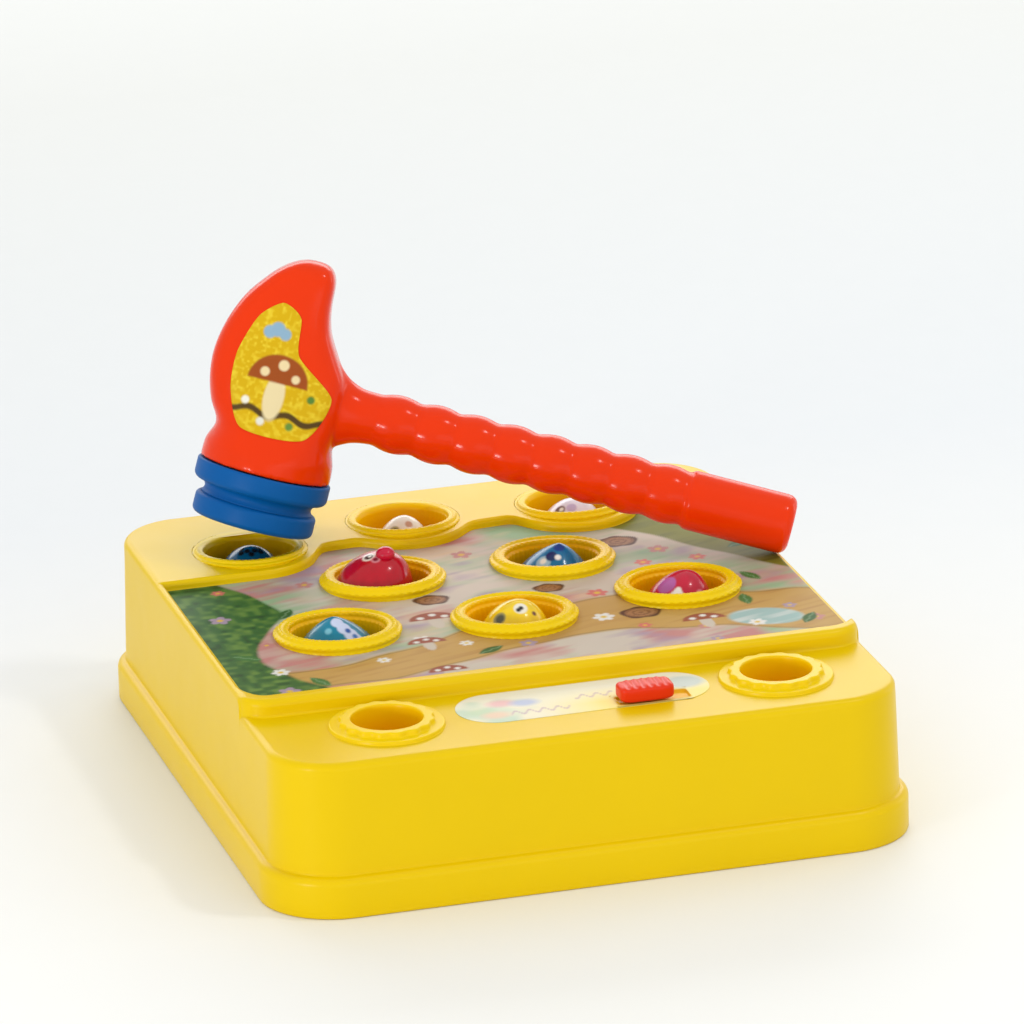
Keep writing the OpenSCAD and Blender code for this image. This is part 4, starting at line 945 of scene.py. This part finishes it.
def label_print_and_shadow(x, y):
    """Milky ground that turns pale yellow in front, pastel ovals, mauve waves as sine lines, a grey-blue
    oval, and a dark line along the track's front edge: painted shadow under the knob, a printed line beyond
    it."""
    low = np.clip(0.55 - (y - LABEL_Y) / 16, 0, 1) * np.clip((x + 20) / 30, 0.15, 1)
    ink = paint(np.ones(x.shape + (3,)) * linear(246, 241, 218), low, linear(253, 232, 122))
    ink = paint(ink, 3 * patches(x, y, 51, 0.06) - 0.2 - 0.02 * (x + 20), linear(204, 224, 200))
    for u, v, tint in ((-28, 4, (240, 176, 186)), (-19, 2, (170, 188, 232)),
                       (-38, -3, (196, 220, 182)), (-33, -8, (246, 206, 176))):
        ink = paint(ink, 0.75 * soft(np.hypot((x - u) / 1.5, y - LABEL_Y - v) - 3.6, 3), linear(*tint))
    for u, v, half in ((-15, -8, 12), (9, 1, 8)):
        wave = np.maximum(np.abs(y - LABEL_Y - v - 1.8 * np.sin(1.1 * (x - u))) - 0.8, np.abs(x - u) - half)
        ink = paint(ink, 0.7 * soft(wave), linear(196, 164, 178))
    ink = paint(ink, 0.9 * soft(np.hypot((x - 46) / 1.3, y - LABEL_Y - 3) - 6.5, 3), linear(196, 210, 206))
    # Painted shadow: under the knob this dark line stands for the knob's shadow; to the right of the track it
    # is a printed line.
    shadow_and_print_line = np.maximum(np.abs(y - TRACK[2] + 0.5) - 0.3, np.maximum(TRACK[0] - 1 - x, x - 52))
    return paint(ink, 0.85 * soft(shadow_and_print_line, 0.6), linear(92, 84, 48))


label_s = np.concatenate([[0], (1 - np.cos(np.linspace(0, np.pi, 200))) / 2, [1]])
label_x = LABEL_X - LABEL_HALF + 2 * LABEL_HALF * label_s[None]
end_in = np.maximum(np.abs(label_x - LABEL_X) - LABEL_HALF + LABEL_R, 0)
label_v = np.concatenate([[-1], np.linspace(-1, 1, 60), [1]])[:, None]
label_y = LABEL_Y + label_v * np.sqrt(np.maximum(LABEL_R**2 - end_in**2, 0))
label_x = np.repeat(label_x, len(label_v), 0)
label_z = sheet_height(label_y.shape, LABEL_Z, LABEL_T)
label_points = np.stack([label_x, label_y, label_z], -1).reshape(-1, 3)
label_faces = cells(*label_x.shape)
on_label = ~over_track(label_points[label_faces].mean(1), grow=0.3)
add_piece("label", label_points, label_faces[on_label], "case", printed_and_shaded_label, ("switch_label",),
          label_print_and_shadow(label_x, label_y).reshape(-1, 3), outward=False)
print("label faces:", int(on_label.sum()))

# %% [markdown]
# The switch's track is flush with the label and has a trough for the slider: rounded rectangles of falling
# size, each with a height. The slider knob is a rounded bar swept along x; its ribs are a wave along the
# sweep.

# %% Track
def oblong(half_x, half_y, square, turn_steps):
    """A rectangle with rounded corners: a circle squared off, then scaled to the half sizes."""
    theta = full_turn(turn_steps)
    return half_x * squared(np.cos(theta), square), half_y * squared(np.sin(theta), square)


def stacked(sizes, heights, middle, square, turn_steps=200):
    """Oblong rings, one for each size and height, as a grid of points."""
    rings = [np.column_stack([*oblong(*half, square, turn_steps), np.full(turn_steps, z)])
             for half, z in zip(sizes, heights)]
    return np.array(rings) + np.array([*middle, 0.0])


TROUGH_RING = 4
tray = stacked(
    [(15.9, 6.9), (15.8, 6.8), (15.4, 6.3), (14.9, 4.8), (14.8, 4.7), (14.6, 4.5), (14.2, 4.2), (0, 0)],
    [62.21, 62.23, 62.23, 62.23, 62.1, 61.3, 61.2, 61.2],
    ((TRACK[0] + TRACK[1]) / 2, (TRACK[2] + TRACK[3]) / 2), 10.0,
)
tray_points, tray_faces = tube(tray)
tray_print_and_shade = label_print_and_shadow(tray[..., 0], tray[..., 1])
# Painted shade: the trough's rings, from TROUGH_RING inwards, are a darker orange yellow than the label.
tray_print_and_shade[TROUGH_RING:] = linear(255, 196, 20)
add_piece("switch_track", tray_points, tray_faces, "case", printed_and_shaded_label, (),
          tray_print_and_shade.reshape(-1, 3), outward=False)
print("track rings:", len(tray))

# %% Slider knob
KNOB_X, KNOB_Y, KNOB_HALF, KNOB_LOW, KNOB_TOP, KNOB_RIBS = 27.0, -113.0, 11.0, 62.3, 69.0, 6


def knob_bar(steps=150, turn_steps=80):
    """A squared-off oval section swept along x; the ends close along a superellipse;
    ribs swell the upper part as a wave."""
    along = np.sin(np.linspace(-np.pi / 2, np.pi / 2, steps))[:, None]
    a = full_turn(turn_steps)[None]
    size = np.maximum(1 - np.abs(along) ** 5, 0) ** (1 / 5)
    section_y, section_z = oblong(6.0, 1.0, 5.0, turn_steps)
    groove = 0.5 - 0.5 * np.cos(2 * np.pi * KNOB_RIBS * np.clip(along * 0.6 + 0.5, 0, 1))
    swell = 1 - 0.16 * groove * np.clip(2.5 * np.sin(a) - 1.2, 0, 1)
    half_z = (KNOB_TOP - KNOB_LOW) / 2
    y = KNOB_Y + size * swell * section_y
    z = KNOB_LOW + half_z + half_z * size * swell * section_z
    return tube(np.stack([KNOB_X + KNOB_HALF * along + 0 * a, y, z], -1))


knob_points, knob_faces = knob_bar()
add_piece("slider_knob", knob_points, knob_faces, "switch_knob", knob_red, ("switch_knob",))
print("slider knob ribs:", KNOB_RIBS)

# %% [markdown]
# The moles are soft vinyl domes on stems, no two alike. A dome is a turned profile whose tip can be pointed
# and pulled to one side; eyes and stripes are sprayed on, and a few white dots are painted glints, all as
# colours by distance to a spot on the skin. Below the dome the same profile goes on to the stem and the
# collar that the catch holds.

# %% Mole shapes
MOLE_FOOT_Z, FOOT_ROUND, STEM_R, COLLAR_R, DOME_H = 53.3, 1.2, 4.9, 9.0, 15.0
COLLAR_LOW_Z, COLLAR_HIGH_Z = 32.5, 35.0
FACE_SIDE = -105.0


def dome(t, turn, look):
    """A dome's place at t from the tip (0) to the wall (1): a low point value sharpens the tip;
    lean pulls it aside."""
    radius, point, lean, base = look
    r = radius * (1 - (1 - t) ** (1 + 0.95 * point)) ** (1 / (1.15 + 0.85 * point))
    fade = base + lean * (1 - t) ** 2
    a = np.radians(FACE_SIDE + 90)
    return r * np.cos(turn) + fade * np.cos(a), r * np.sin(turn) + fade * np.sin(a)


def mole_body(x, y, top_z, lift, look, turn_steps=96):
    """Dome from tip to wall, rounded foot, stem and collar, as one turned profile."""
    t = np.linspace(0, 1, 60)[:, None] ** 1.4
    turn = full_turn(turn_steps)[None]
    dome_x, dome_y = dome(t, turn, look)
    wall_x, wall_y = dome(1.0, turn, look)
    r = np.array([look[0] - FOOT_ROUND, STEM_R, STEM_R, COLLAR_R, COLLAR_R, 0.0])[:, None]
    z = np.array([MOLE_FOOT_Z + FOOT_ROUND, MOLE_FOOT_Z, MOLE_FOOT_Z, COLLAR_HIGH_Z, COLLAR_HIGH_Z,
                  COLLAR_LOW_Z, COLLAR_LOW_Z])[:, None]
    px = np.vstack([dome_x, wall_x, r * np.cos(turn)]) + x
    py = np.vstack([dome_y, wall_y, r * np.sin(turn)]) + y
    pz = np.vstack([top_z - DOME_H * t, z + lift]) + 0 * turn
    return tube(np.stack([px, py, pz], -1))


def spot_on(x, y, top_z, look, aside, t):
    """The place on a dome at an angle aside from the face's middle, t down from the tip."""
    sx, sy = dome(t, np.radians(FACE_SIDE + aside), look)
    return np.array([x + sx, y + sy, top_z - DOME_H * t])


print("mole foot at", MOLE_FOOT_Z, "mm")

# %% [markdown]
# Each mole has a colour slot, a shape (radius, roundness of the tip, lean of the tip, shift of the base), a
# colour, and a list of marks: angle aside from the face's middle, depth below the tip, size and colour.

# %% Eight moles
RAISED, MOLE_LIFT = "mid_left", 6.5
INK, CREAM, GLINT_WHITE = (28, 26, 30), (240, 236, 220), (246, 244, 236)
DARK_BLUE, PALE_BLUE, OLIVE, BROWN = (20, 44, 96), (200, 210, 238), (96, 92, 54), (112, 66, 54)
CROWN_MARKS = [(a, 0.05 + 0.05 * (k % 2), 1.3, INK) for k, a in enumerate(range(-160, 180, 24))]
MOLES = {
    "back_left": ("mole_navy", (13.5, 0.9, 0, 0), (10, 104, 152), CROWN_MARKS + [
        (-30, 0.36, 2.2, (30, 130, 170)), (34, 0.36, 2.4, DARK_BLUE)]),
    "back_middle": ("mole_white", (12.0, 0.75, 0.5, 0), CREAM, [
        (-30, 0.3, 2.6, (170, 164, 120)), (-30, 0.3, 1.7, OLIVE),
        (26, 0.14, 1.6, (196, 150, 120)), (44, 0.4, 2.4, (214, 196, 160))]),
    "back_right": ("mole_lilac", (14.0, 0.85, 1, 0), (230, 220, 230), [
        (-46, 0.2, 2.4, BROWN), (-42, 0.18, 1.0, CREAM),
        (-8, 0.12, 2.2, (196, 176, 206)), (36, 0.4, 2.6, (226, 196, 200))]),
    "mid_left": ("mole_red", (15.8, 1.0, 3.4, -3.4), (186, 8, 34), [
        (-60, 0.07, 2.8, CREAM), (-60, 0.07, 1.9, INK), (-58, 0.06, 0.7, CREAM),
        (-20, 0.08, 1.9, (222, 140, 150)), (-20, 0.08, 1.2, (120, 16, 40))]),
    # On the blue mole the cream dot at -36 and the white dot at 4 are painted glints.
    "mid_right": ("mole_blue", (16.4, 0.32, 2.8, 0), (6, 112, 160), [
        (-34, 0.36, 3.2, (160, 196, 210)), (-20, 0.22, 2.4, DARK_BLUE), (-36, 0.34, 1.4, CREAM),
        (4, 0.24, 1.3, GLINT_WHITE), (6, 0.05, 2.4, (16, 70, 140))]),
    "front_left": ("mole_teal", (17.0, 0.34, -1.4, 0), (8, 128, 158), [
        (20, 0.08, 2.6, PALE_BLUE), (34, 0.2, 3.0, PALE_BLUE), (42, 0.34, 3.2, PALE_BLUE),
        (46, 0.48, 3.2, PALE_BLUE), (40, 0.26, 1.2, (40, 84, 160)), (47, 0.4, 1.2, (60, 110, 180)),
        (-22, 0.24, 1.4, (120, 190, 210))]),
    "front_middle": ("mole_yellow", (14.2, 0.85, 1.8, 0), (246, 210, 24), [
        (-44, 0.34, 2.9, (150, 140, 80)), (-42, 0.34, 1.9, (84, 84, 60)), (10, 0.1, 2.8, CREAM),
        (2, 0.13, 1.0, INK), (12, 0.1, 1.0, INK), (50, 0.26, 1.0, BROWN)]),
    # The four white dots in the middle of the pink mole are a painted highlight.
    "front_right": ("mole_pink", (14.0, 0.75, 3.2, 0), (196, 24, 56), [
        (-52, 0.26, 4.2, (178, 92, 160)), (-10, 0.38, 1.8, GLINT_WHITE), (-16, 0.44, 1.6, GLINT_WHITE),
        (-4, 0.44, 1.6, GLINT_WHITE), (-10, 0.32, 1.1, GLINT_WHITE), (44, 0.5, 2.0, (226, 140, 150))]),
}
print("marks on each mole:", [len(traits[-1]) for traits in MOLES.values()])

# %% Mole skins
RAISED_TOP_Z, BACK_TOP_Z, FRONT_TOP_Z = 78.0, 70.4, 72.8
BALL_R, BALL_HALF = 3.9, 3.0
mole_vinyl = moulded("mole_vinyl", np.full(3, 0.9), 0.92, (0.16, 0.28), 0.04, coat=0.3, source="print")


def add_mole(name, slot, look, colour, marks):
    """A dome with its sprayed marks and its painted glints; the raised one has a ball on its tip."""
    x, y, _ = HOLES[name]
    raised, skin = name == RAISED, linear(*colour)
    top_z = RAISED_TOP_Z if raised else BACK_TOP_Z if name.startswith("back") else FRONT_TOP_Z
    points, faces = mole_body(x, y, top_z, MOLE_LIFT if raised else 0.0, look)
    blotch = value_noise(points[:, 0] * 0.4 + 50, points[:, 1] * 0.4 + 50, 31) - 0.4
    ink = paint(ground(points[:, 0], skin), 0.5 * blotch, skin * 0.6)
    # Each mark is a colour by distance to its spot: sprayed paint, and on the blue and the pink mole also
    # painted glints.
    for aside, t, size, tint in marks:
        d = np.linalg.norm(points - spot_on(x, y, top_z, look, aside, t), axis=1)
        ink = paint(ink, soft(d - size, 0.8), linear(*tint))
    if raised:
        a, b = np.radians(np.linspace(-90, 90, 21))[:, None], full_turn(32)[None]
        level = BALL_R * np.cos(a)
        ball = np.stack([level * np.cos(b), level * np.sin(b), BALL_HALF * np.sin(a) + 0 * b], -1)
        ball_points, ball_faces = tube(ball + spot_on(x, y, top_z + 0.3, look, aside=30, t=0.02))
        points, faces = joined((points, faces), (ball_points, ball_faces))
        ink = np.vstack([ink, ground(ball_points[:, 0], linear(200, 18, 56))])
    add_piece("mole_skin_" + name, points, faces, "mole_" + name, mole_vinyl, ("mole_" + name,), ink)


for name, traits in MOLES.items():
    add_mole(name, *traits)
print("moles:", len(MOLES))

# %% [markdown]
# Under each mole stands a return spring of steel wire, wound on a mandrel. It is a circle carried along a
# helix. Its foot stands on the frame and its top reaches the mole's collar as the mole stands now; the raised
# mole's spring is drawn that much longer.

# %% Return springs
SPRING_LOW, SPRING_HIGH, SPRING_R, WIRE_R, SPRING_TURNS = 20.6, 32.4, 6.5, 0.5, 5


def coil(x, y, high, steps=121, sides=10):
    """A circle of the wire's radius carried along a helix that rises evenly; both ends shrink to a point."""
    along = np.concatenate([[0], np.linspace(0, 1, steps), [1]])[:, None]
    thick = WIRE_R * np.concatenate([[0], np.ones(steps), [0]])[:, None]
    turn, rim = 2 * np.pi * SPRING_TURNS * along, full_turn(sides)[None]
    r = SPRING_R + thick * np.cos(rim)
    z = SPRING_LOW + WIRE_R + (high - SPRING_LOW - 2 * WIRE_R) * along + thick * np.sin(rim)
    return tube(np.stack([x + r * np.cos(turn), y + r * np.sin(turn), z], -1))


spring_steel = moulded("spring_steel", linear(176, 178, 182), 0.9, (0.2, 0.34), 0.06, metal=1.0)
for name, (hx, hy, _) in HOLES.items():
    high = SPRING_HIGH + (MOLE_LIFT if name == RAISED else 0.0)
    points, faces = coil(hx, hy, high)
    spring = add_piece("return_spring_" + name, points, faces, None, spring_steel, ("spring_" + name,))
    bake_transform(spring)
print("return springs:", len(HOLES))

# %% [markdown]
# What shows only from below or when the case is opened keeps its CAD shape and gets a finish: moulded base
# and door, grey frame, green disc, bare steel, a lacquered board, cells with a wrapper.

# %% Inner pieces
INNER_LOOKS = {
    "base_yellow": ((236, 196, 10), 0.95, (0.32, 0.45), 0.06),
    "frame_grey": ((120, 122, 126), 0.93, (0.4, 0.55), 0.08),
    "gear_plastic": ((232, 228, 214), 0.96, (0.3, 0.42), 0.05),
    "disc_green": ((60, 140, 70), 0.94, (0.35, 0.5), 0.06),
    "steel": ((176, 178, 182), 0.9, (0.22, 0.4), 0.1),
    "board": ((20, 92, 52), 0.88, (0.3, 0.45), 0.08),
    "black": ((30, 30, 32), 0.8, (0.4, 0.6), 0.1),
    "clamp_orange": ((224, 110, 30), 0.94, (0.35, 0.5), 0.06),
    "cell": ((52, 54, 60), 0.8, (0.3, 0.42), 0.05),
    "squeak_white": ((236, 236, 232), 0.96, (0.4, 0.5), 0.05),
}
INNER = {
    name: moulded(name, linear(*colour), *rest, metal=1.0 if name == "steel" else 0.0)
    for name, (colour, *rest) in INNER_LOOKS.items()
}
inner_finish = {
    "base_plate": "base_yellow", "battery_door": "base_yellow", "chassis_plate": "frame_grey",
    "release_disc": "disc_green", "circuit_board": "board", "board_chips": "black",
    "switch_body": "black", "speaker": "black", "motor_clamp": "clamp_orange", "batteries": "cell",
    "squeaker": "squeak_white", "drive_gear": "gear_plastic", "motor_pinion": "gear_plastic",
}
dressed = 0
for name, solid in solids.items():
    if solid.hide_render:
        continue
    finish = inner_finish.get(name, "gear_plastic" if name.startswith("catch") else "steel")
    solid.data.materials.clear()
    solid.data.materials.append(INNER[finish])
    dressed += 1
print("inner pieces:", dressed)

# %% [markdown]
# A plain pale floor, whose tone is painted shade: darker towards the back, where the light is strongest, and
# paler in front, so that the lit floor reads evenly pale; and soft light. Area lights stand in for softboxes:
# a wide one behind, so that the level surfaces shine pale as in the photograph, weak ones from the front and
# the right, and two small ones, one high at the front right and one low at the left, which make the rows of
# bright dots along the handle.

# %% Floor
FLOOR_HALF, FLOOR_Z = 6000.0, -0.05
floor_lines = np.concatenate([[-FLOOR_HALF], np.linspace(-400, 1400, 37), [FLOOR_HALF]])
floor_x, floor_y = np.meshgrid(np.linspace(-FLOOR_HALF, FLOOR_HALF, 9), floor_lines)
floor_points = np.stack([floor_x, floor_y, floor_x * 0 + FLOOR_Z], -1).reshape(-1, 3)
# Painted shade: the floor's tone darkens towards the back, where the light is strongest, so that the lit
# floor reads evenly pale.
floor_painted_shade = np.array([linear(240, 241, 239), linear(217, 221, 224), linear(207, 209, 207)])
tone = np.column_stack([np.interp(floor_points[:, 1], [-150, 350, 1000], shade) for shade in floor_painted_shade.T])
floor_pale = moulded("floor_pale", np.ones(3), 0.995, (0.55, 0.65), 0.0, source="print")
floor = add_piece(
    "floor", floor_points, cells(*floor_x.shape), None, floor_pale, (), tone, outward=False)
print("floor points:", len(floor_points))

# %% Lights
HANDLE_MIDDLE = (36, 58, 104)


def softbox(name, place, aim, size, watts):
    """A rectangular area light at place (mm), turned to face aim."""
    lamp = bpy.data.lights.new(name, "AREA")
    lamp.shape, lamp.energy = "RECTANGLE", watts
    lamp.size, lamp.size_y = size[0] * MM, size[1] * MM
    box = bpy.data.objects.new(name, lamp)
    spot = np.array(place, float)
    backwards = unit(spot - np.array(aim, float))
    side_x = unit(np.cross([0.0, 0.01, 1.0], backwards))
    box.matrix_world = placed(side_x, np.cross(backwards, side_x), backwards, spot)
    bpy.context.scene.collection.objects.link(box)


softbox("behind", (300, 2000, 900), (0, 0, 60), size=(2800, 900), watts=21)
softbox("front", (300, -2400, 500), (0, 0, 40), size=(1800, 800), watts=4)
softbox("spark_high", (862, -457, 1736), HANDLE_MIDDLE, size=(170, 170), watts=4.5)
softbox("spark_low", (-1469, -1096, 219), HANDLE_MIDDLE, size=(200, 200), watts=8)
softbox("right", (1800, 500, 500), (0, 60, 150), size=(400, 900), watts=2)
world = bpy.data.worlds.new("studio")
world.use_nodes = True
sky_light = world.node_tree.nodes["Background"].inputs
sky_light["Color"].default_value = (1.0, 0.995, 0.98, 1)
sky_light["Strength"].default_value = 0.88
bpy.context.scene.world = world
bpy.context.scene.view_settings.view_transform = "Standard"
print("lights:", len(bpy.data.lights))
